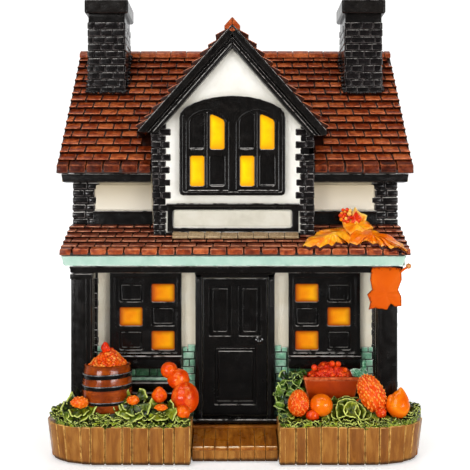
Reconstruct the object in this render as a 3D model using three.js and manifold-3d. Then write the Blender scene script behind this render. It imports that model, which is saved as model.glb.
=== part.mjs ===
// Lighted two-storey cottage figurine: hollow cast-resin castings on a plank-sided base,
// with a battery light unit under the house. Millimetres, +Z up, front faces -Y,
// origin at the centre of the footprint on the surface it stands on.
import * as THREE from 'three';
import { mergeVertices } from 'three/addons/utils/BufferGeometryUtils.js';
import Module from 'manifold-3d';

const wasm = await Module();
wasm.setup();

// ---------------------------------------------------------------- driving dimensions
const GAP = 0.3;            // glue or paint gap between neighbouring castings
const BASE_HALF_W = 69.5;   // widest half width, at the planter ends
const BASE_SIDE = 66.5;     // half width of the base beside the house
const BASE_FRONT = -55, BASE_REAR = 55;
const BASE_BOTTOM = 1.2;    // underside of the casting, above the pads
const BASE_TOP = 10.4;      // deck that the house stands on
const RIM_TOP = 14.0;       // top edge of the planter planks
const NOTCH_X = 15.6, NOTCH_BACK = -37.5;   // front notch that holds the step
const WELL = [-54, 54, -24, 42];            // light well through the base
const RECESS = [-56.3, 56.3, -26.3, 44.3], RECESS_TOP = 3.9;

const HOUSE_X = 62, HOUSE_FRONT = -28, HOUSE_REAR = 47, WALL = 3;
const HOUSE_BOTTOM = 10.7;

const EAVE_FRONT = -36, RIDGE_Y = 9.5, EAVE_TOP = 107.5, RIDGE_TOP = 160.4, ROOF_V = 4.9;
const ROOF_X = 67, EAVE_UNDER = 104.5;
const ROOF_SLOPE = (RIDGE_TOP - EAVE_TOP) / (RIDGE_Y - EAVE_FRONT);
const roofTop = (y) => RIDGE_TOP - Math.abs(y - RIDGE_Y) * ROOF_SLOPE;
const roofLow = (y) => roofTop(y) - ROOF_V;

const GX = -1.0;            // centre line of the gable bay
const BAY_X = 30.3, BAY_FRONT = -37, BAY_WALL = 2.6;
const GABLE_TOP = 161.2, GABLE_SLOPE = 1.13, GABLE_V = 4.8, GABLE_HALF = 35.5;
const GABLE_FRONT = -41;
const gableTop = (x) => GABLE_TOP - Math.abs(x - GX) * GABLE_SLOPE;

const PORCH_EAVE = -48, PORCH_EAVE_TOP = 76.3, PORCH_WALL_TOP = 86.2, PORCH_X = 63.2, PORCH_V = 2.6;
const PORCH_SLOPE = (PORCH_WALL_TOP - PORCH_EAVE_TOP) / (HOUSE_FRONT - GAP - PORCH_EAVE);
const porchTop = (y) => PORCH_EAVE_TOP + (y - PORCH_EAVE) * PORCH_SLOPE;

const POST_FRONT = -43.5, POST_REAR = -36.5, POST_LEFT = [-59.9, -52.5], POST_RIGHT = [51.9, 59.3];
const WIN_X = 34.1, WIN_HALF = 13.65, WIN_BOTTOM = 35.3, WIN_TOP = 66.9, SILL_BOTTOM = 30.3;
const PANE_ROWS = [[37.3, 44.5], [46.5, 53.55], [55.65, 62.5]];       // bottom to top
const PANE_COLS = [[-10.0, -1.3], [2.2, 11.0]];                        // about the window's centre
const CHIMNEY_X = 52.85, CHIMNEY_HALF = 7.75, CHIMNEY_Y = [-8, 8.6], CHIMNEY_TOP = 178;

const PLATE_Z = [1.6, 3.6];                  // plastic underside plate
const CELL_R = 7.25, CELL_L = 50.5, CELL_Z = 11.4;
const DOOR_HINGE_Y = -7.3, DOOR_END_Y = 26.3, DOOR_X = 30;

// ---------------------------------------------------------------- solid helpers
function solid(geometry) {
  let g = geometry.clone();
  g.deleteAttribute('normal');
  g.deleteAttribute('uv');
  g = mergeVertices(g, 1e-4);
  const src = g.index.array;
  const tri = [];
  for (let i = 0; i < src.length; i += 3) {
    const [a, b, c] = [src[i], src[i + 1], src[i + 2]];
    if (a !== b && b !== c && a !== c) tri.push(a, b, c);
  }
  return new wasm.Manifold(new wasm.Mesh({
    numProp: 3,
    vertProperties: new Float32Array(g.attributes.position.array),
    triVerts: new Uint32Array(tri),
  }));
}

function box(x0, x1, y0, y1, z0, z1) {
  const g = new THREE.BoxGeometry(x1 - x0, y1 - y0, z1 - z0);
  g.translate((x0 + x1) / 2, (y0 + y1) / 2, (z0 + z1) / 2);
  return solid(g);
}

// prism of a 2-D outline: along x the outline is (y, z), along y it is (x, z), along z it is (x, y)
function prism(points, axis, a, b) {
  const shape = new THREE.Shape(points.map(([u, v]) => new THREE.Vector2(u, v)));
  const g = new THREE.ExtrudeGeometry(shape, { depth: b - a, bevelEnabled: false, steps: 1 });
  const m = new THREE.Matrix4();
  if (axis === 'x') m.set(0, 0, 1, a, 1, 0, 0, 0, 0, 1, 0, 0, 0, 0, 0, 1);
  else if (axis === 'y') m.set(1, 0, 0, 0, 0, 0, -1, b, 0, 1, 0, 0, 0, 0, 0, 1);
  else m.set(1, 0, 0, 0, 0, 1, 0, 0, 0, 0, 1, a, 0, 0, 0, 1);
  g.applyMatrix4(m);
  return solid(g);
}

// upright cylinder, or one along x or y
function cyl(r, a, b, u, v, axis = 'z', seg = 20) {
  const g = new THREE.CylinderGeometry(r, r, b - a, seg);
  if (axis === 'z') { g.rotateX(Math.PI / 2); g.translate(u, v, (a + b) / 2); }
  else if (axis === 'x') { g.rotateZ(Math.PI / 2); g.translate((a + b) / 2, u, v); }
  else g.translate(u, (a + b) / 2, v);
  return solid(g);
}

// body of revolution about an upright axis; profile is [radius, z] from the axis to the axis
function turned(profile, x, y, seg = 20) {
  const g = new THREE.LatheGeometry(profile.map(([r, z]) => new THREE.Vector2(r, z)), seg);
  g.rotateX(Math.PI / 2);
  g.translate(x, y, 0);
  return solid(g);
}

function ball(rx, ry, rz, x, y, z, tilt = 0, seg = 14, rings = 9) {
  const g = new THREE.SphereGeometry(1, seg, rings);
  g.rotateX(Math.PI / 2);
  g.scale(rx, ry, rz);
  g.rotateY(tilt);
  g.translate(x, y, z);
  return solid(g);
}

function wire(points, r) {
  const curve = new THREE.CatmullRomCurve3(points.map((p) => new THREE.Vector3(...p)), false, 'centripetal');
  const shape = new THREE.Shape();
  for (let i = 0; i < 8; i++) {
    const a = (i / 8) * 2 * Math.PI;
    if (i === 0) shape.moveTo(r * Math.cos(a), r * Math.sin(a));
    else shape.lineTo(r * Math.cos(a), r * Math.sin(a));
  }
  return solid(new THREE.ExtrudeGeometry(shape, { steps: 16, extrudePath: curve, bevelEnabled: false }));
}

const all = (list) => list.reduce((a, b) => a.add(b));

const model = new THREE.Group();
function piece(name, body, color, roughness = 0.35, metalness = 0) {
  const mesh = body.getMesh();
  let g = new THREE.BufferGeometry();
  g.setAttribute('position', new THREE.BufferAttribute(new Float32Array(mesh.vertProperties), 3));
  g.setIndex(new THREE.BufferAttribute(new Uint32Array(mesh.triVerts), 1));
  g.computeVertexNormals();
  const m = new THREE.Mesh(g, new THREE.MeshStandardMaterial({ color, roughness, metalness }));
  m.name = name;
  model.add(m);
}

const TILE = '#8b3a20', BLACK = '#141211', WHITE = '#efece4', MINT = '#b9dccb', WOOD = '#a9712e';
const ORANGE = '#f06414', LEAF = '#5d7424', AMBER = '#ffb020', ABS = '#1c1c1e';

// ---------------------------------------------------------------- base casting
function baseOutline(inset) {
  const right = [];
  right.push([NOTCH_X + inset, NOTCH_BACK - 0], [NOTCH_X + inset, BASE_FRONT + inset]);
  const cx = 50.5, cy = -38, rx = BASE_HALF_W - inset - cx, ry = cy - BASE_FRONT - inset;
  for (let i = 0; i <= 8; i++) {
    const t = (i / 8) * Math.PI / 2;
    right.push([cx + rx * Math.sin(t), cy - ry * Math.cos(t)]);
  }
  right.push([68.6 - inset, -31], [BASE_SIDE - inset, -25]);
  for (let i = 0; i <= 3; i++) {
    const t = (i / 3) * Math.PI / 2;
    right.push([BASE_SIDE - 5 + (5 - Math.min(inset, 4)) * Math.cos(t) - Math.max(inset - 4, 0), BASE_REAR - 5 + (5 - Math.min(inset, 4)) * Math.sin(t)]);
  }
  const left = right.map(([x, y]) => [-x, y]).reverse();
  return right.concat(left);
}

let base = prism(baseOutline(0), 'z', BASE_BOTTOM, BASE_TOP);
const rimRegion = box(-80, 80, -70, -24, 0, 40);
let rim = prism(baseOutline(0), 'z', BASE_BOTTOM, RIM_TOP).intersect(rimRegion);
// soil pockets, one each side of the step, open to the house behind
const pocketOutline = baseOutline(2.6);
let pocket = prism(pocketOutline, 'z', BASE_TOP, 30).intersect(box(-80, 80, -70, -20, 0, 40));
rim = rim.subtract(pocket).subtract(box(-NOTCH_X - 0.01, NOTCH_X + 0.01, -60, -20, BASE_TOP, 30));
rim = rim.subtract(box(-63, 63, -34, -20, BASE_TOP, 30));
base = base.add(rim);
base = base.subtract(box(WELL[0], WELL[1], WELL[2], WELL[3], 0, 30));
base = base.subtract(box(RECESS[0], RECESS[1], RECESS[2], RECESS[3], 0, RECESS_TOP));
const PLATE_SCREWS = [[-50.2, 9], [50.2, 9]];
for (const [x, y] of PLATE_SCREWS) {
  const s = Math.sign(x);
  base = base.add(box(Math.min(s * 46.2, s * 54.5), Math.max(s * 46.2, s * 54.5), y - 4, y + 4, RECESS_TOP, BASE_TOP));
  base = base.subtract(cyl(1.3, 0, 9.3, x, y, 'z', 14));
}
piece('base_casting', base, WOOD, 0.5);

// step board with a gently rising tread
piece('front_step', prism([[-50.5, 1.2], [-37.8, 1.2], [-37.8, 9.2], [-50.5, 5.4]], 'x', -NOTCH_X + GAP, NOTCH_X - GAP), '#8f5a18', 0.45);

// ---------------------------------------------------------------- house shell
let house = prism([
  [HOUSE_FRONT, HOUSE_BOTTOM], [HOUSE_REAR, HOUSE_BOTTOM],
  [HOUSE_REAR, roofLow(HOUSE_REAR) - 0.4], [RIDGE_Y, roofLow(RIDGE_Y) - 0.4], [HOUSE_FRONT, roofLow(HOUSE_FRONT) - 0.4],
], 'x', -HOUSE_X, HOUSE_X);
house = house.subtract(box(-HOUSE_X + WALL, HOUSE_X - WALL, HOUSE_FRONT + WALL, HOUSE_REAR - WALL, 0, 200));
for (const s of [-1, 1]) {
  house = house.subtract(box(s * WIN_X - 11.6, s * WIN_X + 11.6, HOUSE_FRONT - 1, HOUSE_FRONT + WALL + 1, 36.3, 63.5));
}
house = house.subtract(box(GX - 27, GX + 27, HOUSE_FRONT - 1, HOUSE_FRONT + WALL + 1, 87, 200));
house = house.add(box(-65.3, GX - BAY_X - GAP, -34.2, HOUSE_FRONT + 1, 101.4, 104.2));
house = house.add(box(GX + BAY_X + GAP, 65.3, -34.2, HOUSE_FRONT + 1, 101.4, 104.2));
house = house.add(box(-65.3, 65.3, HOUSE_REAR - 1, 53.2, 101.4, 104.2));
piece('house_shell', house, WHITE, 0.45);

// ---------------------------------------------------------------- roofs
const hw = ROOF_X;
const eaveIn = EAVE_FRONT + (EAVE_UNDER - roofLow(EAVE_FRONT)) / ROOF_SLOPE;
let roofF = prism([
  [EAVE_FRONT, roofTop(EAVE_FRONT)], [RIDGE_Y - 0.15, roofTop(RIDGE_Y - 0.15)],
  [RIDGE_Y - 0.15, roofLow(RIDGE_Y - 0.15)], [eaveIn, EAVE_UNDER], [EAVE_FRONT, EAVE_UNDER],
], 'x', -hw, hw);
roofF = roofF.subtract(box(GX - BAY_X - GAP, GX + BAY_X + GAP, -40, -27.7, 90, 150));
// light well under the gable, following the inside of the gable roof
const wellTop = (x) => GABLE_TOP - GABLE_V - 2.4 - x * GABLE_SLOPE;
roofF = roofF.subtract(prism([[GX - 24, 90], [GX + 24, 90], [GX + 24, wellTop(24)], [GX, wellTop(0)], [GX - 24, wellTop(24)]], 'y', -40, 2));
piece('main_roof_front', roofF, TILE, 0.4);
const mirrorY = (y) => 2 * RIDGE_Y - y;
piece('main_roof_rear', prism([
  [mirrorY(EAVE_FRONT), roofTop(EAVE_FRONT)], [mirrorY(RIDGE_Y - 0.15), roofTop(RIDGE_Y - 0.15)],
  [mirrorY(RIDGE_Y - 0.15), roofLow(RIDGE_Y - 0.15)], [mirrorY(eaveIn), EAVE_UNDER], [mirrorY(EAVE_FRONT), EAVE_UNDER],
], 'x', -hw, hw), TILE, 0.4);

// everything above the front slope, or in front of a given plane
function aboveRoof(frontY, lift) {
  return prism([
    [-80, 0], [frontY, 0], [frontY, roofTop(frontY) + lift], [RIDGE_Y, RIDGE_TOP + lift], [RIDGE_Y, 260], [-80, 260],
  ], 'x', -90, 90);
}

let gable = prism([
  [GX - GABLE_HALF, gableTop(GX - GABLE_HALF)], [GX, GABLE_TOP], [GX + GABLE_HALF, gableTop(GX + GABLE_HALF)],
  [GX + GABLE_HALF, gableTop(GX + GABLE_HALF) - GABLE_V], [GX, GABLE_TOP - GABLE_V], [GX - GABLE_HALF, gableTop(GX - GABLE_HALF) - GABLE_V],
], 'y', GABLE_FRONT, 9);
gable = gable.intersect(aboveRoof(EAVE_FRONT - GAP, 0.45));
piece('gable_roof', gable, TILE, 0.4);

const BT = GABLE_TOP - GABLE_V - GAP, BH = 33.3, BV = 6.4;
piece('gable_bargeboard', prism([
  [GX - BH, BT - BH * GABLE_SLOPE], [GX, BT], [GX + BH, BT - BH * GABLE_SLOPE],
  [GX + BH, BT - BH * GABLE_SLOPE - BV], [GX, BT - BV], [GX - BH, BT - BH * GABLE_SLOPE - BV],
], 'y', -40.5, BAY_FRONT - GAP), BLACK, 0.25);

// ---------------------------------------------------------------- gable bay
const bayU = (x) => GABLE_TOP - GABLE_V - 0.45 - Math.abs(x) * GABLE_SLOPE;
let bay = prism([
  [GX - BAY_X, 76], [GX + BAY_X, 76], [GX + BAY_X, bayU(BAY_X)], [GX, bayU(0)], [GX - BAY_X, bayU(BAY_X)],
], 'y', BAY_FRONT, 2);
bay = bay.subtract(box(GX - BAY_X + BAY_WALL, GX + BAY_X - BAY_WALL, BAY_FRONT + BAY_WALL, 20, 60, 200));
bay = bay.intersect(aboveRoof(HOUSE_FRONT - GAP, 0.45));
// the foot follows the porch roof
bay = bay.intersect(prism([
  [-60, porchTop(-60) + GAP], [HOUSE_FRONT - GAP, porchTop(HOUSE_FRONT - GAP) + GAP], [40, porchTop(HOUSE_FRONT - GAP) + GAP], [40, 260], [-60, 260],
], 'x', -90, 90));
// two window openings behind the arched surround
bay = bay.subtract(box(GX - 16.6, GX - 0.9, BAY_FRONT - 1, BAY_FRONT + BAY_WALL + 1, 98.2, 128.6));
bay = bay.subtract(box(GX + 0.9, GX + 16.6, BAY_FRONT - 1, BAY_FRONT + BAY_WALL + 1, 98.2, 128.6));
piece('gable_bay', bay, WHITE, 0.45);

// arched double surround of the gable window, with openings only where a pane is lit
const GWZ = 133.2;
let gframe = prism([
  [GX - 19.5, 95.9], [GX + 19.5, 95.9], [GX + 19.5, 124.5], [GX + 17.8, 128.6], [GX + 13.5, 131.8], [GX + 6.5, GWZ - 0.3], [GX, GWZ],
  [GX - 6.5, GWZ - 0.3], [GX - 13.5, 131.8], [GX - 17.8, 128.6], [GX - 19.5, 124.5],
], 'y', -39.6, BAY_FRONT - GAP);
const gx = (px) => (px - 235) * 0.3725;
const gz = (py) => 83.1 + (230 - py) * 0.3725;
const G_LIT = [[209.9, 224.4, 114.9, 149.2], [189.7, 204.2, 155.2, 185.9], [259.7, 274.7, 114.4, 149.5], [240.2, 254.5, 155.2, 186.2]];
const G_DARK = [[189.7, 205.2, 113.5, 149.5], [210, 224.4, 155.2, 185.9], [240.5, 256, 113.5, 149.5], [261.2, 274.7, 155.2, 186.2]];
for (const [a, b, t, u] of G_LIT) gframe = gframe.subtract(box(gx(a), gx(b), -45, -30, gz(u), gz(t)));
for (const [a, b, t, u] of G_DARK) gframe = gframe.subtract(box(gx(a), gx(b), -45, -38.7, gz(u), gz(t)));
piece('window_frame_gable', gframe, BLACK, 0.25);
piece('window_pane_gable', box(GX - 18.2, GX + 18.2, -34.1, -33.1, 97.2, 130.4), AMBER, 0.3);

// ---------------------------------------------------------------- chimneys
for (const s of [-1, 1]) {
  const cx = s * CHIMNEY_X;
  let c = box(cx - CHIMNEY_HALF, cx + CHIMNEY_HALF, CHIMNEY_Y[0], CHIMNEY_Y[1], 120, 173);
  c = c.add(box(cx - 9, cx + 9, CHIMNEY_Y[0] - 1.2, CHIMNEY_Y[1] + 1.2, 171.9, CHIMNEY_TOP));
  c = c.subtract(box(cx - 3.4, cx + 3.4, -4, 4.6, 176, 190));
  c = c.intersect(prism([[-40, roofTop(-40) + 0.45], [RIDGE_Y, RIDGE_TOP + 0.45], [RIDGE_Y + 6, RIDGE_TOP + 0.45], [RIDGE_Y + 6, 260], [-40, 260]], 'x', -90, 90));
  piece(s < 0 ? 'chimney_left' : 'chimney_right', c, '#1a1514', 0.35);
}

// ---------------------------------------------------------------- porch
const pw = HOUSE_FRONT - GAP;
piece('porch_roof', prism([
  [PORCH_EAVE, PORCH_EAVE_TOP], [pw, PORCH_WALL_TOP], [pw, PORCH_WALL_TOP - PORCH_V],
  [PORCH_EAVE + (74 - (PORCH_EAVE_TOP - PORCH_V)) / PORCH_SLOPE, 74.0], [PORCH_EAVE, 74.0],
], 'x', -PORCH_X, PORCH_X), TILE, 0.4);

const porchLow = (y) => porchTop(y) - PORCH_V - GAP;
let fascia = box(-62, 62, -46.8, -44.8, 70.1, 73.7);
for (const s of [-1, 1]) {
  const x0 = s < 0 ? -62 : 60.2;
  fascia = fascia.add(prism([[-46.8, 70.1], [pw, 70.1], [pw, porchLow(pw)], [-44.9, 73.7], [-46.8, 73.7]], 'x', x0, x0 + 1.8));
}
piece('porch_fascia', fascia, MINT, 0.4);
let beam = box(-61.5, 61.5, -44.5, -36.5, 67.5, 69.8);
beam = beam.add(box(-61.5, -54, -40, pw, 67.5, 69.8)).add(box(54, 61.5, -40, pw, 67.5, 69.8));
piece('porch_beam', beam, BLACK, 0.25);
piece('porch_post_left', box(POST_LEFT[0], POST_LEFT[1], POST_FRONT, POST_REAR, HOUSE_BOTTOM, 67.2), BLACK, 0.25);
piece('porch_post_right', box(POST_RIGHT[0], POST_RIGHT[1], POST_FRONT, POST_REAR, HOUSE_BOTTOM, 67.2), BLACK, 0.25);

// ---------------------------------------------------------------- lower windows
// lit panes are open to the lamp, dark panes are blind recesses, in a chequered order
const LIT = { '-1': [[0, 0], [1, 1], [0, 2]], '1': [[1, 0], [0, 1], [1, 2]] };
LIT['-1'] = [[1, 0], [0, 1], [1, 2]];
LIT['1'] = [[0, 0], [1, 1], [0, 2]];
for (const s of [-1, 1]) {
  const cx = s * WIN_X;
  let f = box(cx - WIN_HALF, cx + WIN_HALF, -31, pw, SILL_BOTTOM, WIN_TOP);
  f = f.add(box(cx - WIN_HALF, cx + WIN_HALF, -32.4, -30, SILL_BOTTOM, WIN_BOTTOM));
  for (let c = 0; c < 2; c++) for (let r = 0; r < 3; r++) {
    const lit = LIT[String(s)].some(([a, b]) => a === c && b === r);
    const [x0, x1] = s < 0 ? PANE_COLS[c] : [-PANE_COLS[1 - c][1], -PANE_COLS[1 - c][0]];
    const [z0, z1] = PANE_ROWS[r];
    f = f.subtract(box(cx + x0, cx + x1, -35, lit ? -20 : -29.7, z0, z1));
  }
  piece(s < 0 ? 'window_frame_left' : 'window_frame_right', f, BLACK, 0.25);
  piece(s < 0 ? 'window_pane_left' : 'window_pane_right', box(cx - 11.3, cx + 11.3, -27.7, -26.6, 36.6, 63.2), AMBER, 0.3);
}

// ---------------------------------------------------------------- door
let dframe = box(-15.1, 15.1, -31.8, pw, 10.7, 67.1);
dframe = dframe.add(box(-16.4, 16.4, -36.4, -31, 10.7, 12.2));
dframe = dframe.subtract(box(-12.5, 12.5, -33, -20, 12.2, 64.9));
piece('door_frame', dframe, BLACK, 0.25);
let leaf = box(-12.2, 12.2, -30.6, pw, 12.5, 64.6);
leaf = leaf.subtract(box(-9.8, -1.6, -33, -29.8, 42.6, 61.7));
leaf = leaf.subtract(box(1.6, 9.8, -33, -29.8, 42.6, 61.7));
leaf = leaf.subtract(box(-7.8, 8.2, -33, -29.8, 16.4, 38.6));
leaf = leaf.add(box(-6.4, 6.8, -30.4, -29.7, 18.2, 36.8).intersect(box(-6.4, 6.8, -30.4, -29, 18.2, 36.8)));
piece('door_leaf', leaf, BLACK, 0.22);
piece('door_knob', cyl(0.9, -32.0, -30.9, 9.6, 40.6, 'y', 12).add(ball(1.35, 1.2, 1.35, 9.6, -32.6, 40.6, 0, 12, 8)), '#2b2a28', 0.2, 0.4);

// ---------------------------------------------------------------- gardens
const postClear = [
  box(POST_LEFT[0] - GAP, POST_LEFT[1] + GAP, POST_FRONT - GAP, POST_REAR + GAP, 0, 80),
  box(POST_RIGHT[0] - GAP, POST_RIGHT[1] + GAP, POST_FRONT - GAP, POST_REAR + GAP, 0, 80),
];
const bed = prism(baseOutline(2.9), 'z', HOUSE_BOTTOM, 15.0).intersect(box(-80, 80, -70, pw, 0, 40));
for (const s of [-1, 1]) {
  let g = bed.intersect(s < 0 ? box(-80, -18.6, -70, 0, 0, 40) : box(18.6, 80, -70, 0, 0, 40));
  g = g.subtract(postClear[s < 0 ? 0 : 1]);
  piece(s < 0 ? 'garden_left' : 'garden_right', g, LEAF, 0.5);
}

// staved barrel, set against the left post, and its heap of fruit
const BX = -46.7, BY = -42.5;
let barrel = turned([[0, 15.4], [8.0, 15.4], [8.9, 21], [9.0, 26], [8.4, 34.0], [7.2, 34.0], [7.2, 32.6], [0, 32.6]], BX, BY, 20);
piece('barrel', barrel.subtract(postClear[0]), '#8a3c0d', 0.35);
let heap = ball(6.6, 6.6, 5.0, BX, BY, 33.6, 0, 14, 9).intersect(box(-80, 0, -80, 0, 32.9, 60));
heap = heap.add(ball(2.2, 2.0, 2.4, BX - 0.5, BY - 2.5, 38.2, 0, 10, 7));
piece('barrel_fruit', heap.intersect(box(BX - 6.8, BX + 6.8, BY - 6.8, BY + 6.8, 32.9, 60)).subtract(postClear[0]), '#e05a1c', 0.35);

// open tapered crate and its berries
const KX = 35.3;
let crate = solid((() => {
  const g = new THREE.BoxGeometry(1, 1, 1);
  const p = g.attributes.position;
  for (let i = 0; i < p.count; i++) {
    const up = p.getZ(i) > 0;
    p.setXYZ(i, KX + Math.sign(p.getX(i)) * (up ? 10 : 7.4), -38.2 + Math.sign(p.getY(i)) * (up ? 5.6 : 4.4), up ? 29.2 : 15.4);
  }
  return g;
})());
crate = crate.subtract(box(KX - 8.6, KX + 8.6, -42.6, -33.8, 25.8, 40));
piece('crate', crate, '#a03a0c', 0.35);
let berries = ball(8.0, 4.0, 5.4, KX, -38.2, 28.6, 0, 14, 9).intersect(box(0, 80, -80, 0, 26.1, 60));
piece('crate_berries', berries, '#ec4a1c', 0.35);

// cast cluster of gourds beside the door
piece('gourd_cluster_left', all([
  ball(5.1, 5.0, 5.9, -18.2, -45, 21.3), ball(3.6, 3.6, 3.6, -21.0, -42.5, 27.4), ball(3.3, 3.3, 3.3, -24.4, -41.6, 30.8),
  ball(2.5, 2.4, 2.6, -19.0, -49.3, 17.9),
]), '#e8541a', 0.3);
piece('gourd_right_bumpy', ball(3.8, 3.8, 5.2, 22.8, -47, 20.6), '#ee5a16', 0.35);
piece('gourd_right_round', ball(4.05, 4.05, 4.05, 31.2, -48.3, 19.6), '#f58a1c', 0.3);
piece('gourd_right_tall', ball(4.2, 4.0, 6.8, 49.2, -48.2, 23.6, -0.5), '#ee5a16', 0.35);
piece('gourd_right_pear', turned([[0, 15.4], [2.6, 15.6], [4.3, 18.4], [4.0, 21.0], [2.3, 23.6], [1.1, 25.8], [0, 26.0]], 58.6, -48.2, 16), '#f27a22', 0.3);

// leaf spray lying on the porch roof, and the leaf that hangs in front of the right post
let spray = prism([
  [25, -44.4], [33, -39], [40, -35], [46, -31.5], [52, -34], [58, -40], [61.6, -46.8], [52, -45.6], [40, -46.2], [30, -45.8],
], 'z', 70, 110);
const sheetBand = (lo, hi) => prism([
  [-60, porchTop(-60) + lo], [pw, porchTop(pw) + lo], [pw, porchTop(pw) + hi], [-60, porchTop(-60) + hi],
], 'x', -90, 90);
spray = spray.intersect(sheetBand(GAP, GAP + 2.4));
spray = spray.add(ball(9, 4.2, 7.4, 45.2, -34.5, 84.4).intersect(sheetBand(GAP, 30)));
piece('leaf_spray', spray.intersect(box(0, 90, -60, pw - 0.2, 0, 200)), '#f5821e', 0.35);
piece('post_leaf', prism([
  [48.2, 68.8], [60.4, 69.3], [59.2, 63.4], [60.2, 59.6], [56.6, 58.8], [53.6, 54.4], [51.0, 57.6], [48.6, 57.8], [50.2, 63.2],
], 'y', -46.6, -44.8), '#f6720c', 0.35);

// ---------------------------------------------------------------- light unit in the underside
let plate = box(-56, 56, -26, 44, PLATE_Z[0], PLATE_Z[1]);
plate = plate.add(box(-32.2, 32.2, -9.4, 28.2, PLATE_Z[0], 21));            // cell box
plate = plate.add(box(-7, 7, 27, 36.5, PLATE_Z[0], 10.5));                    // door screw boss
plate = plate.subtract(box(-28.6, 28.6, -5.9, 24.9, 1, 19.2));               // cell space
plate = plate.subtract(box(-DOOR_X - GAP, DOOR_X + GAP, DOOR_HINGE_Y - GAP, DOOR_END_Y + GAP, 1, PLATE_Z[1] + GAP));
plate = plate.subtract(box(-5.3, 5.3, 26, 34.3, 1, PLATE_Z[1] + GAP));      // ear of the door
plate = plate.subtract(cyl(1.5, 3, 8.6, 0, 30.4, 'z', 16));                   // boss hole
for (const s of [-1, 1]) plate = plate.subtract(box(s * 17 - 3.6, s * 17 + 3.6, -10.2, -5, PLATE_Z[1], 6.6)); // tongue slots
for (const [x, y] of PLATE_SCREWS) plate = plate.subtract(cyl(1.3, 1, 5, x, y, 'z', 14)).subtract(cyl(2.7, 1, 2.9, x, y, 'z', 16));
const SW = [-43, 9];                                                          // switch centre
plate = plate.subtract(box(SW[0] - 1.5, SW[0] + 1.5, SW[1] - 4.2, SW[1] + 4.2, 1, 5));
plate = plate.subtract(box(-28.5, -27.1, 6.3 - 7.25 - 0.4, 6.3 - 7.25 + 3.4, 18, 22));
plate = plate.subtract(box(-28.5, -27.1, 17.3, 21.1, 18, 22));
piece('bottom_plate', plate, ABS, 0.5);

let door = box(-DOOR_X, DOOR_X, DOOR_HINGE_Y, DOOR_END_Y, PLATE_Z[0], PLATE_Z[1]);
door = door.add(box(-5, 5, DOOR_END_Y - 1, 34, PLATE_Z[0], PLATE_Z[1]));
for (const s of [-1, 1]) {
  door = door.add(box(s * 17 - 3.2, s * 17 + 3.2, DOOR_HINGE_Y, -6.2, PLATE_Z[1] - 0.5, 5.0));
  door = door.add(box(s * 17 - 3.2, s * 17 + 3.2, -9.5, -6.2, 3.9, 5.0));
}
door = door.subtract(cyl(2.5, 1, 2.9, 0, 30.4, 'z', 16)).subtract(cyl(1.1, 1, 5, 0, 30.4, 'z', 16));
piece('battery_door', door, ABS, 0.5);
const screw = (x, y, zHead, zTip, rh, rs) => cyl(rh, zHead, zHead + 0.8, x, y, 'z', 16).add(cyl(rs, zHead + 0.4, zTip, x, y, 'z', 12))
  .subtract(box(x - 1.3, x + 1.3, y - 0.25, y + 0.25, zHead - 1, zHead + 0.45)).subtract(box(x - 0.25, x + 0.25, y - 1.3, y + 1.3, zHead - 1, zHead + 0.45));
piece('battery_door_screw', screw(0, 30.4, 1.8, 7.0, 2.2, 0.8), '#b8b8bc', 0.3, 1);
PLATE_SCREWS.forEach(([x, y], i) => piece(`plate_screw_${i + 1}`, screw(x, y, 1.8, 8.9, 2.4, 1.0), '#b8b8bc', 0.3, 1));

const cellY = [1.85, 17.15];
cellY.forEach((y, i) => {
  const s = i === 0 ? 1 : -1;
  let c = cyl(CELL_R, -CELL_L / 2 + (s < 0 ? 1.2 : 0), CELL_L / 2 - (s > 0 ? 1.2 : 0), y, CELL_Z, 'x', 20);
  c = c.add(cyl(2.7, Math.min(s * 20, s * CELL_L / 2), Math.max(s * 20, s * CELL_L / 2), y, CELL_Z, 'x', 12));
  piece(`battery_${i + 1}`, c, i ? '#3a3f46' : '#3a3f46', 0.35, 0.4);
});
// spring contacts: one bridge, and one strip for each lead with a tail through the box roof
piece('contact_bridge', box(27.7, 28.2, -4, 23, 6, 17).add(cyl(2.4, 26.6, 27.9, cellY[1], CELL_Z, 'x', 12)).add(cyl(2.4, 25.8, 27.9, cellY[0], CELL_Z, 'x', 12)), '#c8c8cc', 0.3, 1);
piece('contact_positive', box(-28.2, -27.7, 13, 22, 6, 17).add(box(-28.2, -27.7, 17.7, 20.7, 16, 23.5)).add(cyl(2.4, -27.9, -25.8, cellY[1], CELL_Z, 'x', 12)), '#c8c8cc', 0.3, 1);
piece('contact_negative', box(-28.2, -27.7, -4, 6, 6, 17).add(box(-28.2, -27.7, -1.0, 2.0, 16, 23.5)).add(cyl(2.4, -27.9, -25.8, cellY[0], CELL_Z, 'x', 12)), '#c8c8cc', 0.3, 1);

// slide switch beside the cells
let sw = box(SW[0] - 3.2, SW[0] + 3.2, SW[1] - 6.4, SW[1] + 6.4, PLATE_Z[1] + GAP, 9.4);
sw = sw.subtract(box(SW[0] - 2.1, SW[0] + 2.1, SW[1] - 4.6, SW[1] + 4.6, 3, 7.9));
piece('switch_body', sw, '#26262a', 0.4);
let slider = box(SW[0] - 1.7, SW[0] + 1.7, SW[1] - 4.1, SW[1] + 0.9, 4.6, 7.4);
slider = slider.add(box(SW[0] - 1.1, SW[0] + 1.1, SW[1] - 3.3, SW[1] + 0.1, 1.7, 5));
piece('switch_slider', slider, '#e8e6e0', 0.45);

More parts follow.
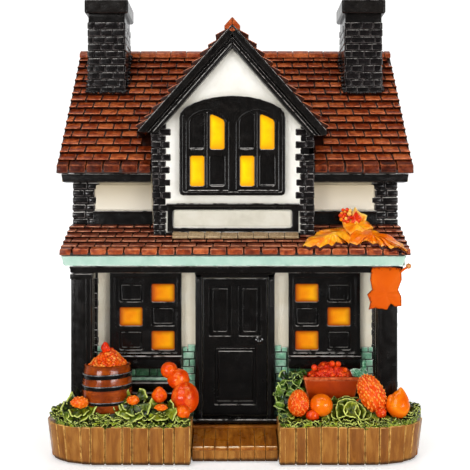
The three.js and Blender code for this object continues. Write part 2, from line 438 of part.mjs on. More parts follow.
// lamp post with two diodes, and the two leads
piece('led_post', box(-2.2, 2.2, 9, 12, 21.3, 118).add(box(-5, 5, 5.5, 15, 21.3, 23)), '#d8d6d0', 0.5);
const led = (z) => {
  const g = new THREE.LatheGeometry([[0, 0], [2.9, 0], [2.9, 1], [2.5, 1], [2.5, 6.2], [1.7, 7.8], [0, 8.5]].map(([r, y]) => new THREE.Vector2(r, y)), 16);
  g.rotateX(Math.PI);             // dome towards -y after the turn below
  g.translate(0, 0, 0);
  g.applyMatrix4(new THREE.Matrix4().makeTranslation(0, 8.7, z));
  return solid(g);
};
piece('led_lower', led(52), '#fff2c8', 0.1);
piece('led_upper', led(114), '#fff2c8', 0.1);
piece('lead_wire_red', wire([[-27.95, 19.2, 24.0], [-26.5, 19, 28], [-18, 17, 34], [-8, 14, 40], [-3.6, 12.8, 60], [-3.4, 12.8, 90], [-3.4, 12.6, 112]], 0.55), '#b01818', 0.45);
piece('lead_wire_black', wire([[-27.95, 0.5, 24.0], [-26.5, 1, 28], [-18, 4, 32], [-8, 9, 38], [-3.9, 10.4, 60], [-3.8, 10.4, 90], [-3.8, 10.4, 112]], 0.55), '#161616', 0.45);

// ---------------------------------------------------------------- foot pads
[[-59.5, 49], [59.5, 49], [-56, -45], [56, -45]].forEach(([x, y], i) => piece(`foot_pad_${i + 1}`, cyl(4, 0, 0.9, x, y, 'z', 20), '#2c2a28', 0.9));

export default model;
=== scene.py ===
import bpy
import math
import random
import bmesh
from mathutils import Matrix, Vector, noise


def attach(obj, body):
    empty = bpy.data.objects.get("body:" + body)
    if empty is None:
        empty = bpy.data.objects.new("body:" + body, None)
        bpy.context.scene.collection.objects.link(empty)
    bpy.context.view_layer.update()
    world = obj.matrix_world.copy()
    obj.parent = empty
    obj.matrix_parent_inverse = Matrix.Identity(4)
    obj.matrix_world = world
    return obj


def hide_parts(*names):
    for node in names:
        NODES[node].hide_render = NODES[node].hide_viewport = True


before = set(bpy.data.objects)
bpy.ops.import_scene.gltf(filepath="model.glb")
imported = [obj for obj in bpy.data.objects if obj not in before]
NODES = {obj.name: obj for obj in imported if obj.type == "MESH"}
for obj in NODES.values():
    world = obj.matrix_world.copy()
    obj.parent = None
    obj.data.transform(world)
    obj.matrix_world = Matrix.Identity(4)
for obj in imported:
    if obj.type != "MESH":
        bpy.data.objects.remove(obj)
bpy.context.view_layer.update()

# Lighted cottage figurine. Everything below is in millimetres until it is written to a mesh.
MM = 0.001

# ------------------------------------------------------------------ dimensions shared with the castings
GX = -1.0
EAVE_Y, RIDGE_Y, EAVE_TOP, RIDGE_TOP = -36.0, 9.5, 107.5, 160.4
ROOF_SLOPE = (RIDGE_TOP - EAVE_TOP) / (RIDGE_Y - EAVE_Y)
ROOF_X = 67.0
GABLE_TOP, GABLE_SLOPE, GABLE_HALF, GABLE_Y = 161.2, 1.13, 35.5, -41.0
PORCH_Y, PORCH_TOP, PORCH_WALL_Y, PORCH_WALL_Z, PORCH_X = -48.0, 76.3, -28.3, 86.2, 63.2
PORCH_SLOPE = (PORCH_WALL_Z - PORCH_TOP) / (PORCH_WALL_Y - PORCH_Y)
BAY_Y, BAY_X = -37.0, 30.3
WALL_Y, WALL_X, REAR_Y = -28.0, 62.0, 47.0
WIN_X = 34.1
PANE_ROWS = [(37.3, 44.5), (46.5, 53.55), (55.65, 62.5)]
PANE_COLS = [(-10.0, -1.3), (2.2, 11.0)]
CHIMNEY_X = 52.85

CAM_Y, CAM_Z, FOCUS = -328.0, 83.1, 778.5


def at(px, py, y):
    """Position of a picture point on the upright plane at depth y."""
    k = (y - CAM_Y) / FOCUS
    return ((px - 235.0) * k, CAM_Z + (230.0 - py) * k)


def ax(px, y):
    return at(px, 0, y)[0]


def az(py, y):
    return at(0, py, y)[1]


def rgb(r, g, b):
    def lin(c):
        c /= 255.0
        return c / 12.92 if c <= 0.04045 else ((c + 0.055) / 1.055) ** 2.4

    return (lin(r), lin(g), lin(b), 1.0)


# ------------------------------------------------------------------ node helpers
class Nodes:
    """One procedural material, with coordinates in millimetres."""

    def __init__(self, name):
        self.mat = bpy.data.materials.new(name)
        self.mat.use_nodes = True
        self.tree = self.mat.node_tree
        self.tree.nodes.clear()
        self.out = self.new("ShaderNodeOutputMaterial")
        self.bsdf = self.new("ShaderNodeBsdfPrincipled")
        self.link(self.bsdf.outputs[0], self.out.inputs[0])
        coord = self.new("ShaderNodeTexCoord")
        scale = self.new("ShaderNodeVectorMath")
        scale.operation = "SCALE"
        self.link(coord.outputs["Object"], scale.inputs[0])
        scale.inputs["Scale"].default_value = 1000.0
        self.mm = scale.outputs[0]

    def new(self, kind):
        return self.tree.nodes.new(kind)

    def link(self, a, b):
        self.tree.links.new(a, b)

    def give(self, socket, value):
        if hasattr(value, "is_output") or isinstance(value, bpy.types.NodeSocket):
            self.link(value, socket)
        else:
            socket.default_value = value

    def stretch(self, x, y, z):
        n = self.new("ShaderNodeVectorMath")
        n.operation = "MULTIPLY"
        self.link(self.mm, n.inputs[0])
        n.inputs[1].default_value = (x, y, z)
        return n.outputs[0]

    def noise(self, scale, detail=3.0, rough=0.55, vector=None, distortion=0.0):
        n = self.new("ShaderNodeTexNoise")
        self.link(vector or self.mm, n.inputs["Vector"])
        n.inputs["Scale"].default_value = scale
        n.inputs["Detail"].default_value = detail
        n.inputs["Roughness"].default_value = rough
        n.inputs["Distortion"].default_value = distortion
        return n.outputs[0]

    def voronoi(self, scale, vector=None, feature="F1"):
        n = self.new("ShaderNodeTexVoronoi")
        n.feature = feature
        self.link(vector or self.mm, n.inputs["Vector"])
        n.inputs["Scale"].default_value = scale
        return n.outputs["Distance"]

    def attr(self, name):
        n = self.new("ShaderNodeAttribute")
        n.attribute_name = name
        return n.outputs["Fac"]

    def calc(self, op, a, b=0.0, clamp=False):
        n = self.new("ShaderNodeMath")
        n.operation = op
        n.use_clamp = clamp
        self.give(n.inputs[0], a)
        self.give(n.inputs[1], b)
        return n.outputs[0]

    def fit(self, value, a, b, c=0.0, d=1.0):
        n = self.new("ShaderNodeMapRange")
        n.clamp = True
        self.give(n.inputs["Value"], value)
        n.inputs["From Min"].default_value = a
        n.inputs["From Max"].default_value = b
        n.inputs["To Min"].default_value = c
        n.inputs["To Max"].default_value = d
        return n.outputs[0]

    def ramp(self, value, stops):
        n = self.new("ShaderNodeValToRGB")
        self.give(n.inputs[0], value)
        e = n.color_ramp.elements
        e[0].position, e[0].color = stops[0]
        e[1].position, e[1].color = stops[-1]
        for pos, col in stops[1:-1]:
            e.new(pos).color = col
        return n.outputs[0]

    def mix(self, fac, a, b, blend="MIX"):
        n = self.new("ShaderNodeMix")
        n.data_type = "RGBA"
        n.blend_type = blend
        n.clamp_factor = True
        self.give(n.inputs[0], fac)
        self.give(n.inputs[6], a)
        self.give(n.inputs[7], b)
        return n.outputs[2]

    def hollow(self, distance):
        """1 deep in a crevice, 0 in the open; distance in millimetres."""
        n = self.new("ShaderNodeAmbientOcclusion")
        n.inputs["Distance"].default_value = distance * MM
        n.samples = 8
        return self.calc("SUBTRACT", 1.0, n.outputs["AO"])

    def bump(self, height, strength, depth=0.2, normal=None):
        n = self.new("ShaderNodeBump")
        n.inputs["Strength"].default_value = strength
        n.inputs["Distance"].default_value = depth * MM
        self.link(height, n.inputs["Height"])
        if normal is not None:
            self.link(normal, n.inputs["Normal"])
        return n.outputs[0]

    def split(self, vector):
        n = self.new("ShaderNodeSeparateXYZ")
        self.link(vector, n.inputs[0])
        return n.outputs

    def facing_up(self):
        g = self.new("ShaderNodeNewGeometry")
        return self.split(g.outputs["True Normal"])[2]

    def done(self, color, rough, normal=None, coat=0.0, coat_rough=0.08, spec=0.5, ior=1.5):
        b = self.bsdf
        self.give(b.inputs["Base Color"], color)
        self.give(b.inputs["Roughness"], rough)
        if normal is not None:
            self.link(normal, b.inputs["Normal"])
        b.inputs["Coat Weight"].default_value = coat
        b.inputs["Coat Roughness"].default_value = coat_rough
        b.inputs["Specular IOR Level"].default_value = spec
        b.inputs["IOR"].default_value = ior
        return self.mat


def paint(name, dark, mid, light, scale=0.45, edge=None, edge_amount=0.8, tint=0.45, grime=None, grime_reach=1.6,
          grime_amount=0.9, rough=(0.26, 0.42), grain=0.12, grain_scale=2.2, coat=0.4, coat_rough=0.1, spec=0.5, streak=None,
          rim=None, rim_from=0.55, rim_amount=1.0, shine=None, shine_amount=0.8, shine_patch=(0.42, 0.56), side=0.75, foot=None, upper=None):
    """Hand-painted resin: three tones by noise and by each block's own tint, painted highlights on edges, painted shade
    in the hollows and on block sides.
    """
    n = Nodes(name)
    vec = n.stretch(*streak) if streak else None
    a = n.noise(scale, 4.0, 0.6, vec, 0.4)
    t = n.calc("MULTIPLY", n.calc("SUBTRACT", n.attr("tint"), 0.5), tint)
    col = n.ramp(n.calc("ADD", n.fit(a, 0.3, 0.7), t, True), [(0.0, dark), (0.5, mid), (1.0, light)])
    # colour by the rim attribute: edge paint on leaves, a random tone on loose berries; on gourd lobe crests, wart tips
    # and the upper edges of barrel hoops it is a painted highlight
    if rim is not None:
        r = n.attr("rim")
        w = n.fit(n.calc("ADD", r, n.calc("MULTIPLY", n.calc("SUBTRACT", n.noise(1.1, 2.0), 0.5), 0.5)), rim_from, 1.0, 0.0, rim_amount)
        col = n.mix(w, col, rim)
    # painted shade on the side faces of blocks (edge -1), darkening the joints between them
    if grime is not None and side:
        col = n.mix(n.fit(n.attr("edge"), 0.0, -1.0, 0.0, side), col, grime)
    # painted highlight on chamfered edges, in patches
    if edge is not None:
        e = n.attr("edge")
        patch = n.fit(n.noise(0.55, 3.0, 0.6), 0.36, 0.62)
        col = n.mix(n.calc("MULTIPLY", n.calc("MULTIPLY", e, patch), edge_amount), col, edge)
    # painted shade in hollows and crevices, from ambient occlusion
    if grime is not None:
        col = n.mix(n.fit(n.hollow(grime_reach), 0.18, 0.85, 0.0, grime_amount), col, grime)
    if shine is not None:
        # painted highlight on upward-facing edges, in broken dashes along the piece
        dash = n.fit(n.noise(0.5, 3.0, 0.6, n.stretch(0.6, 0.6, 1.6)), shine_patch[0], shine_patch[1])
        up = n.fit(n.facing_up(), 0.15, 0.6)
        w = n.calc("MULTIPLY", n.calc("MULTIPLY", n.fit(n.attr("edge"), 0.2, 0.7), up), n.calc("MULTIPLY", dash, shine_amount))
        col = n.mix(w, col, shine)
    if upper is not None:
        # painted shade: the upper storey is painted darker than the lower, and a painted shadow darkens the front wall
        # towards the eave
        place = n.split(n.mm)
        col = n.mix(n.fit(place[2], 84.0, 90.0), col, upper[0])
        eave_shade = n.calc("MULTIPLY", n.fit(place[2], 91.5, 102.0, 0.0, 0.9), n.fit(place[1], -26.5, -27.5))
        col = n.mix(eave_shade, col, upper[1])
    if foot is not None:
        # painted contact shadow: a dark line along the foot, where the casting meets the shelf
        z = n.calc("ADD", n.split(n.mm)[2], n.noise(0.8, 2.0))
        col = n.mix(n.fit(z, foot, foot + 0.8, 0.85, 0.0), col, (0.018, 0.006, 0.002, 1.0))
    fine = n.noise(grain_scale, 3.0, 0.6)
    broad = n.noise(0.35, 2.0, 0.5)
    nor = n.bump(fine, grain, 0.12)
    nor = n.bump(broad, grain * 1.6, 0.5, nor)
    return n.done(col, n.fit(broad, 0.3, 0.7, rough[0], rough[1]), nor, coat, coat_rough, spec)


def moulded(name, color, speck, rough=(0.45, 0.6), grain=0.3, grain_scale=6.0, metal=0.0, coat=0.0, brushed=None):
    n = Nodes(name)
    vec = n.stretch(*brushed) if brushed else None
    fine = n.noise(grain_scale, 2.0, 0.5, vec)
    broad = n.noise(0.3, 3.0)
    col = n.mix(n.fit(broad, 0.35, 0.7), color, speck)
    n.bsdf.inputs["Metallic"].default_value = metal
    return n.done(col, n.fit(broad, 0.3, 0.7, rough[0], rough[1]), n.bump(fine, grain, 0.05), coat)


def lit(name, core, side, rim, strength):
    """Warm lit pane, its glow painted into the pane as emission: brightest off centre, deeper towards its edges."""
    n = Nodes(name)
    across = n.attr("tint")
    out = n.attr("rim")
    cloud = n.noise(0.22, 2.0, 0.5)
    t = n.calc("ADD", n.calc("MULTIPLY", across, 0.8), n.calc("MULTIPLY", n.calc("SUBTRACT", cloud, 0.4), 1.1), True)
    col = n.mix(t, core, side)
    col = n.mix(n.calc("POWER", n.fit(out, 0.42, 0.97), 1.5), col, rim)
    n.link(col, n.bsdf.inputs["Emission Color"])
    n.bsdf.inputs["Emission Strength"].default_value = strength
    dark = n.mix(0.8, col, (0.02, 0.008, 0.0, 1.0))
    return n.done(dark, 0.35, n.bump(n.noise(0.8, 2.0), 0.1, 0.2), 0.0, 0.1, 0.08)


# ------------------------------------------------------------------ mesh helpers
def _hexa_faces():
    faces, edge = [], []
    for a in range(3):
        u, w = [k for k in range(3) if k != a]
        for s in (0, 1):
            b = s << a
            faces.append([c * 3 + a for c in (b, b | 1 << u, b | 1 << u | 1 << w, b | 1 << w)])
            edge.append(0.0)
    for u in range(3):
        a, w = [k for k in range(3) if k != u]
        for sa in (0, 1):
            for sw in (0, 1):
                c0 = (sa << a) | (sw << w)
                c1 = c0 | 1 << u
                faces.append([c0 * 3 + a, c1 * 3 + a, c1 * 3 + w, c0 * 3 + w])
                edge.append(1.0)
    for c in range(8):
        faces.append([c * 3, c * 3 + 1, c * 3 + 2])
        edge.append(1.0)
    pts = []
    for c in range(8):
        p = Vector(((c & 1), (c >> 1 & 1), (c >> 2 & 1)))
        for a in range(3):
            q = p.copy()
            for k in range(3):
                if k != a:
                    q[k] += 0.2 if q[k] == 0 else -0.2
            pts.append(q)
    mid = Vector((0.5, 0.5, 0.5))
    for f in faces:
        n = Vector((0, 0, 0))
        for i in range(len(f)):
            n += pts[f[i]].cross(pts[f[(i + 1) % len(f)]])
        c = sum((pts[i] for i in f), Vector()) / len(f)
        if n.dot(c - mid) < 0:
            f.reverse()
    return faces, edge


HEXA_FACES, HEXA_EDGE = _hexa_faces()
HEXA_BACK = [list(reversed(f)) for f in HEXA_FACES]


def inset(poly, b):
    """Convex outline moved inwards by b."""
    out, n = [], len(poly)
    for i in range(n):
        p0, p1, p2 = Vector(poly[i - 1]), Vector(poly[i]), Vector(poly[(i + 1) % n])
        d1, d2 = (p1 - p0), (p2 - p1)
        if d1.length < 1e-6 or d2.length < 1e-6:
            out.append(tuple(p1))
            continue
        d1.normalize()
        d2.normalize()
        n1, n2 = Vector((-d1.y, d1.x)), Vector((-d2.y, d2.x))
        k = b / max(0.35, 1.0 + n1.dot(n2))
        out.append(tuple(p1 + (n1 + n2) * k))
    return out


def cut(poly, a, b, c):
    """Keeps the part of a convex outline where a*u + b*v <= c."""
    out = []
    for i in range(len(poly)):
        p, q = poly[i - 1], poly[i]
        dp, dq = a * p[0] + b * p[1] - c, a * q[0] + b * q[1] - c
        if (dp <= 0) != (dq <= 0):
            t = dp / (dp - dq)
            out.append((p[0] + (q[0] - p[0]) * t, p[1] + (q[1] - p[1]) * t))
        if dq <= 0:
            out.append(q)
    return out


def area(poly):
    return 0.5 * sum(poly[i - 1][0] * poly[i][1] - poly[i][0] * poly[i - 1][1] for i in range(len(poly)))


def rrect(x0, x1, z0, z1, r, n=3):
    out = []
    for cx, cz, a0 in ((x1 - r, z0 + r, -90), (x1 - r, z1 - r, 0), (x0 + r, z1 - r, 90), (x0 + r, z0 + r, 180)):
        for i in range(n + 1):
            a = math.radians(a0 + 90.0 * i / n)
            out.append((cx + r * math.cos(a), cz + r * math.sin(a)))
    return out


def face_plane(origin, u, v):
    o, u, v = Vector(origin), Vector(u).normalized(), Vector(v).normalized()
    w = u.cross(v)
    return lambda a, b, c=0.0: o + u * a + v * b + w * c


FRONT = lambda y: face_plane((0, y, 0), (1, 0, 0), (0, 0, 1))
BACK = lambda y: face_plane((0, y, 0), (-1, 0, 0), (0, 0, 1))
RIGHT = lambda x: face_plane((x, 0, 0), (0, 1, 0), (0, 0, 1))
LEFT = lambda x: face_plane((x, 0, 0), (0, -1, 0), (0, 0, 1))
TOP = lambda z: face_plane((0, 0, z), (1, 0, 0), (0, 1, 0))


def _ico(sub):
    bm = bmesh.new()
    bmesh.ops.create_icosphere(bm, subdivisions=sub, radius=1.0)
    pts = [v.co.copy() for v in bm.verts]
    bm.verts.index_update()
    faces = [[v.index for v in f.verts] for f in bm.faces]
    bm.free()
    return pts, faces


ICO = {2: _ico(2), 3: _ico(3)}


class Shape:
    def __init__(self):
        self.v, self.f, self.m, self.t, self.e, self.r = [], [], [], [], [], []

    def put(self, pts, faces, mat=0, tint=0.5, edge=0.0, rim=0.0):
        k = len(self.v)
        self.v.extend(tuple(p) for p in pts)
        self.r.extend(rim if isinstance(rim, (list, tuple)) else [rim] * len(pts))
        many = isinstance(edge, (list, tuple))
        for i, f in enumerate(faces):
            self.f.append([k + j for j in f])
            self.m.append(mat)
            self.t.append(tint)
            self.e.append(edge[i] if many else edge)

    def hexa(self, corners, b=0.25, mat=0, tint=0.5, edge=1.0):
        """Chamfered block; corner i is at x = i & 1, y = i >> 1 & 1, z = i >> 2."""
        P = [Vector(c) for c in corners]
        pts = []
        for c in range(8):
            d = []
            for a in range(3):
                w = P[c ^ (1 << a)] - P[c]
                length = w.length
                d.append(w * (min(b, 0.4 * length) / length) if length > 1e-6 else Vector())
            for a in range(3):
                pts.append(P[c] + sum((d[k] for k in range(3) if k != a), Vector()))
        hand = (P[1] - P[0]).cross(P[2] - P[0]).dot(P[4] - P[0])
        self.put(pts, HEXA_FACES if hand > 0 else HEXA_BACK, mat, tint, [x * edge for x in HEXA_EDGE])

    def box(self, x0, x1, y0, y1, z0, z1, b=0.25, mat=0, tint=0.5, edge=1.0, jit=0.0, rnd=None):
        cs = []
        for i in range(8):
            p = [x1 if i & 1 else x0, y1 if i >> 1 & 1 else y0, z1 if i >> 2 else z0]
            if jit:
                p = [c + rnd.uniform(-jit, jit) for c in p]
            cs.append(p)
        self.hexa(cs, b, mat, tint, edge)

    def slab(self, poly, place, lo, hi, b=0.2, mat=0, tint=0.5, edge=1.0):
        """Chamfered prism of a convex anticlockwise outline; hi may be a function of the outline's own coordinates."""
        if len(poly) < 3:
            return
        top = hi if callable(hi) else (lambda u, v: hi)
        n = len(poly)
        small = inset(poly, b)
        pts = [place(u, v, lo) for u, v in poly]
        pts += [place(u, v, top(u, v) - b) for u, v in poly]
        pts += [place(u, v, top(u, v)) for u, v in small]
        faces = [list(range(n))[::-1], [2 * n + i for i in range(n)]]
        flags = [0.0, 0.0]
        for i in range(n):
            j = (i + 1) % n
            faces.append([i, j, n + j, n + i])
            flags.append(-1.0 if edge else 0.0)
            faces.append([n + i, n + j, 2 * n + j, 2 * n + i])
            flags.append(edge)
        self.put(pts, faces, mat, tint, flags)

    def sheet(self, outline, centre, place, rings, height, thick, mat=0, tint=0.5, side_rim=1.0):
        """Closed plate from a star-shaped outline: height(k, u, v) is its crown, k is 0 at the centre and 1 at the edge."""
        n = len(outline)
        pts, rim, faces = [], [], []
        cu, cv = centre
        for side in (0, 1):
            drop = thick if side else 0.0
            pts.append(place(cu, cv, height(0.0, cu, cv) - drop))
            rim.append(0.0)
            for k in range(1, rings + 1):
                s = k / rings
                for u, v in outline:
                    a, c = cu + (u - cu) * s, cv + (v - cv) * s
                    pts.append(place(a, c, height(s, a, c) - drop))
                    rim.append(s * side_rim)
        half = 1 + rings * n

        def vid(side, k, i):
            return side * half + (0 if k == 0 else 1 + (k - 1) * n + i % n)

        for i in range(n):
            faces.append([vid(0, 0, 0), vid(0, 1, i), vid(0, 1, i + 1)])
            faces.append([vid(1, 0, 0), vid(1, 1, i + 1), vid(1, 1, i)])
            for k in range(1, rings):
                faces.append([vid(0, k, i), vid(0, k + 1, i), vid(0, k + 1, i + 1), vid(0, k, i + 1)])
                faces.append([vid(1, k, i), vid(1, k, i + 1), vid(1, k + 1, i + 1), vid(1, k + 1, i)])
            faces.append([vid(0, rings, i), vid(1, rings, i), vid(1, rings, i + 1), vid(0, rings, i + 1)])
        self.put(pts, faces, mat, tint, 0.0, rim)

    def ball(self, c, r, mat=0, tint=0.5, sub=2, squash=(1, 1, 1), rim=0.0):
        pts, faces = ICO[sub]
        c = Vector(c)
        self.put([c + Vector((p.x * squash[0], p.y * squash[1], p.z * squash[2])) * r for p in pts], faces, mat, tint, 0.0, rim)

    def blob(self, c, radii, mat=0, tint=0.5, lobes=0, lobe=0.0, warts=0, wart=0.0, wart_size=0.3, seed=1, turn=None, profile=None,
             nu=40, nv=24, wave=0.0, rim_gain=1.0):
        rnd = random.Random(seed)
        heads = []
        for i in range(warts):
            z = 1 - (2 * i + 1) / warts
            a = i * 2.399963 + rnd.uniform(-0.25, 0.25)
            s = math.sqrt(max(0.0, 1 - z * z))
            heads.append((Vector((s * math.cos(a), s * math.sin(a), z + rnd.uniform(-0.05, 0.05))).normalized(), rnd.uniform(0.6, 1.0)))
        pts, rim = [], []
        turn = turn or Matrix.Identity(3)
        c = Vector(c)

        def point(theta, phi):
            d = Vector((math.cos(theta) * math.cos(phi), math.sin(theta) * math.cos(phi), math.sin(phi)))
            k = 1.0
            # g marks lobe crests and wart tips; as the rim attribute, the gourd paints show it as a painted highlight
            g = 0.0
            if lobes:
                g = abs(math.cos(lobes * theta / 2.0))
                k += lobe * (g - 0.5) * math.cos(phi) ** 0.7
                g *= 0.4
            if wave:
                k += wave * noise.noise(d * 2.1 + Vector((seed, 0, 0)))
            if heads:
                h = 0.0
                for q, amp in heads:
                    x = d.dot(q)
                    if x > 0.8:
                        ang = math.acos(min(1.0, x))
                        h = max(h, amp * math.exp(-(ang / wart_size) ** 2))
                k += wart * h
                g = max(g, h)
            w = profile(d.z) if profile else 1.0
            p = Vector((d.x * radii[0] * k * w, d.y * radii[1] * k * w, d.z * radii[2] * (k if not profile else 1.0)))
            pts.append(c + turn @ p)
            rim.append(min(1.0, g * rim_gain))

        point(0, -math.pi / 2)
        for j in range(1, nv):
            phi = -math.pi / 2 + math.pi * j / nv
            for i in range(nu):
                point(2 * math.pi * i / nu, phi)
        point(0, math.pi / 2)
        faces = []
        for i in range(nu):
            j = (i + 1) % nu
            faces.append([0, 1 + j, 1 + i])
            for k in range(nv - 2):
                a = 1 + k * nu
                faces.append([a + i, a + j, a + nu + j, a + nu + i])
            a = 1 + (nv - 2) * nu
            faces.append([a + i, a + j, len(pts) - 1])
        self.put(pts, faces, mat, tint, 0.0, rim)

    def tube(self, path, r, mat=0, tint=0.5, sides=8, ends=True, rim=0.0, taper=None):
        path = [Vector(p) for p in path]
        pts, faces = [], []
        up = Vector((0, 0, 1))
        n = len(path)
        side = None
        for i, p in enumerate(path):
            d = (path[min(i + 1, n - 1)] - path[max(i - 1, 0)]).normalized()
            if side is None:
                side = d.cross(up)
                if side.length < 0.05:
                    side = d.cross(Vector((1, 0, 0)))
            side = (side - d * side.dot(d)).normalized()
            other = d.cross(side)
            rr = r * (taper(i / (n - 1)) if taper else 1.0)
            for k in range(sides):
                a = 2 * math.pi * k / sides
                pts.append(p + side * (rr * math.cos(a)) + other * (rr * math.sin(a)))
        for i in range(n - 1):
            for k in range(sides):
                j = (k + 1) % sides
                faces.append([i * sides + k, i * sides + j, (i + 1) * sides + j, (i + 1) * sides + k])
        if ends:
            faces.append([k for k in range(sides)][::-1])
            faces.append([(n - 1) * sides + k for k in range(sides)])
        self.put(pts, faces, mat, tint, 0.0, rim)

    def turned(self, profile, c, mat=0, tint=0.5, seg=40, ripple=None, rim=0.0):
        """Body of revolution about the upright through c; the profile runs from the axis at the bottom to the axis at the top."""
        pts, faces = [], []
        n = len(profile)
        for i, (r, z) in enumerate(profile):
            for k in range(seg):
                a = 2 * math.pi * k / seg
                rr = r * (1 + (ripple(a, i / (n - 1)) if ripple and r > 0.01 else 0.0))
                pts.append((c[0] + rr * math.cos(a), c[1] + rr * math.sin(a), z))
        for i in range(n - 1):
            for k in range(seg):
                j = (k + 1) % seg
                faces.append([i * seg + k, i * seg + j, (i + 1) * seg + j, (i + 1) * seg + k])
        if isinstance(rim, (list, tuple)):
            rim = [r for r in rim for _ in range(seg)]
        self.put(pts, faces, mat, tint, 0.0, rim)

    def plate(self, outline, holes, place, back, front, bevel=0.3, res=2, mat=0, tint=0.5):
        """Flat board with openings and rounded edges, from a filled outline."""
        cu = bpy.data.curves.new("outline", "CURVE")
        cu.dimensions = "2D"
        cu.fill_mode = "BOTH"
        cu.extrude = max(0.01, (front - back) / 2.0 - bevel)
        cu.bevel_depth = bevel
        cu.bevel_resolution = res
        cu.offset = -bevel
        for loop in [outline] + list(holes):
            s = cu.splines.new("POLY")
            s.points.add(len(loop) - 1)
            for p, (a, b) in zip(s.points, loop):
                p.co = (a, b, 0.0, 1.0)
            s.use_cyclic_u = True
        ob = bpy.data.objects.new("outline", cu)
        bpy.context.scene.collection.objects.link(ob)
        me = bpy.data.meshes.new_from_object(ob.evaluated_get(bpy.context.evaluated_depsgraph_get()))
        bm = bmesh.new()
        bm.from_mesh(me)
        bmesh.ops.remove_doubles(bm, verts=bm.verts, dist=0.002)
        bmesh.ops.recalc_face_normals(bm, faces=bm.faces)
        bm.verts.index_update()
        mid = (front + back) / 2.0
        pts = [place(v.co.x, v.co.y, mid + v.co.z) for v in bm.verts]
        faces = [[v.index for v in f.verts] for f in bm.faces]
        flags = [0.0 if abs(abs(f.normal.z) - 1.0) < 0.02 else 0.7 for f in bm.faces]
        bm.free()
        bpy.data.objects.remove(ob)
        bpy.data.curves.remove(cu)
        bpy.data.meshes.remove(me)
        self.put(pts, faces, mat, tint, flags)

    def cad(self, node, move=None, mat=0, tint=0.5):
        """A copy of a casting's mesh, welded, with each corner passed through move."""
        me = NODES[node].data
        ids, pts, remap = {}, [], []
        for v in me.vertices:
            p = tuple(round(c / MM, 3) for c in v.co)
            if p not in ids:
                ids[p] = len(pts)
                pts.append(Vector(p))
            remap.append(ids[p])
        if move:
            pts = [move(p) for p in pts]
        faces = []
        for f in me.polygons:
            g = [remap[i] for i in f.vertices]
            if len(set(g)) == len(g):
                faces.append(g)
        self.put(pts, faces, mat, tint)

    def build(self, name, mats, slot, replaces=(), body="house", angle=50.0, weighted=True, subdiv=0, solid=0.0, smooth=True):
        me = bpy.data.meshes.new(name)
        me.from_pydata([(x * MM, y * MM, z * MM) for x, y, z in self.v], [], self.f)
        for m in mats:
            me.materials.append(m)
        me.polygons.foreach_set("material_index", self.m)
        for key, vals in (("tint", self.t), ("edge", self.e)):
            me.attributes.new(key, "FLOAT", "FACE").data.foreach_set("value", vals)
        me.attributes.new("rim", "FLOAT", "POINT").data.foreach_set("value", self.r)
        me.validate()
        me.update()
        if smooth:
            me.shade_smooth()
            if angle < 179:
                me.set_sharp_from_angle(angle=math.radians(angle))
        ob = bpy.data.objects.new(name, me)
        bpy.context.scene.collection.objects.link(ob)
        if solid:
            m = ob.modifiers.new("thick", "SOLIDIFY")
            m.thickness = solid * MM
            m.offset = 0.0
        if subdiv:
            m = ob.modifiers.new("round", "SUBSURF")
            m.levels = m.render_levels = subdiv
        if weighted:
            m = ob.modifiers.new("weighted", "WEIGHTED_NORMAL")
            m.keep_sharp = True
            m.weight = 80
        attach(ob, body)
        if replaces:
            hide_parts(*replaces)
        return ob


def blocks(S, place, u0, u1, v0, v1, rows, pitch, rnd, gap=(0.35, 0.3), lo=-1.0, lift=0.0, drop=0.0, lap=0.0, b=0.2, mat=0, bond=0.5,
           wob=0.08, slant=0.0, clip=None, tint=None, edge=1.0, phase=0.0, least=1.0):
    """Rows of blocks on a plane, in running bond: plain bricks, or lapped tiles when drop and lap are set."""
    dv = (v1 - v0) / rows
    for i in range(rows):
        va, vb = v0 + i * dv + gap[1] / 2, v0 + (i + 1) * dv - gap[1] / 2 + lap
        u = u0 - pitch + ((i * bond + phase) % 1.0) * pitch + rnd.uniform(-0.2, 0.2)
        while u < u1:
            w = pitch * rnd.uniform(0.96, 1.04)
            a, c = u + gap[0] / 2, u + w - gap[0] / 2
            u += w
            first, last = a < u0 + least, c > u1 - least
            a, c = (u0 if first else a), (u1 if last else c)
            if c - a < least or a >= u1 - 0.3:
                continue
            if first:
                a = u0
            j = [rnd.uniform(-wob, wob) for _ in range(6)]
            poly = [(a + (0 if first else j[0]), va + j[1]), (c + (0 if last else j[2]), va + j[3]),
                    (c + (j[4] - slant if last else j[4]), vb), (a + (j[5] + slant if first else j[5]), vb)]
            if clip:
                poly = clip(poly, i, va, vb)
            if not poly or len(poly) < 3 or area(poly) < 0.8:
                continue
            up = lift + rnd.uniform(-wob, wob) * 0.8
            t = tint(a, va) if tint else rnd.random()
            S.slab(poly, place, lo, (lambda p, q, up=up, va=va, vb=vb: up - drop * (q - va) / (vb - va)) if drop else up, b, mat, t, edge)


# ------------------------------------------------------------------ materials
# In the paints below, the dark hollow colours are painted shade in hollows and on block sides, and the edge and shine
# colours are painted highlights.
TILE = paint("tile_rust", rgb(92, 28, 7), rgb(140, 54, 16), rgb(192, 100, 50), scale=0.5, edge=rgb(206, 128, 90), edge_amount=0.75,
             tint=0.6, grime=rgb(28, 4, 0), grime_reach=2.0, side=0.96, rough=(0.26, 0.42), grain=0.12, coat=0.16, spec=0.25)
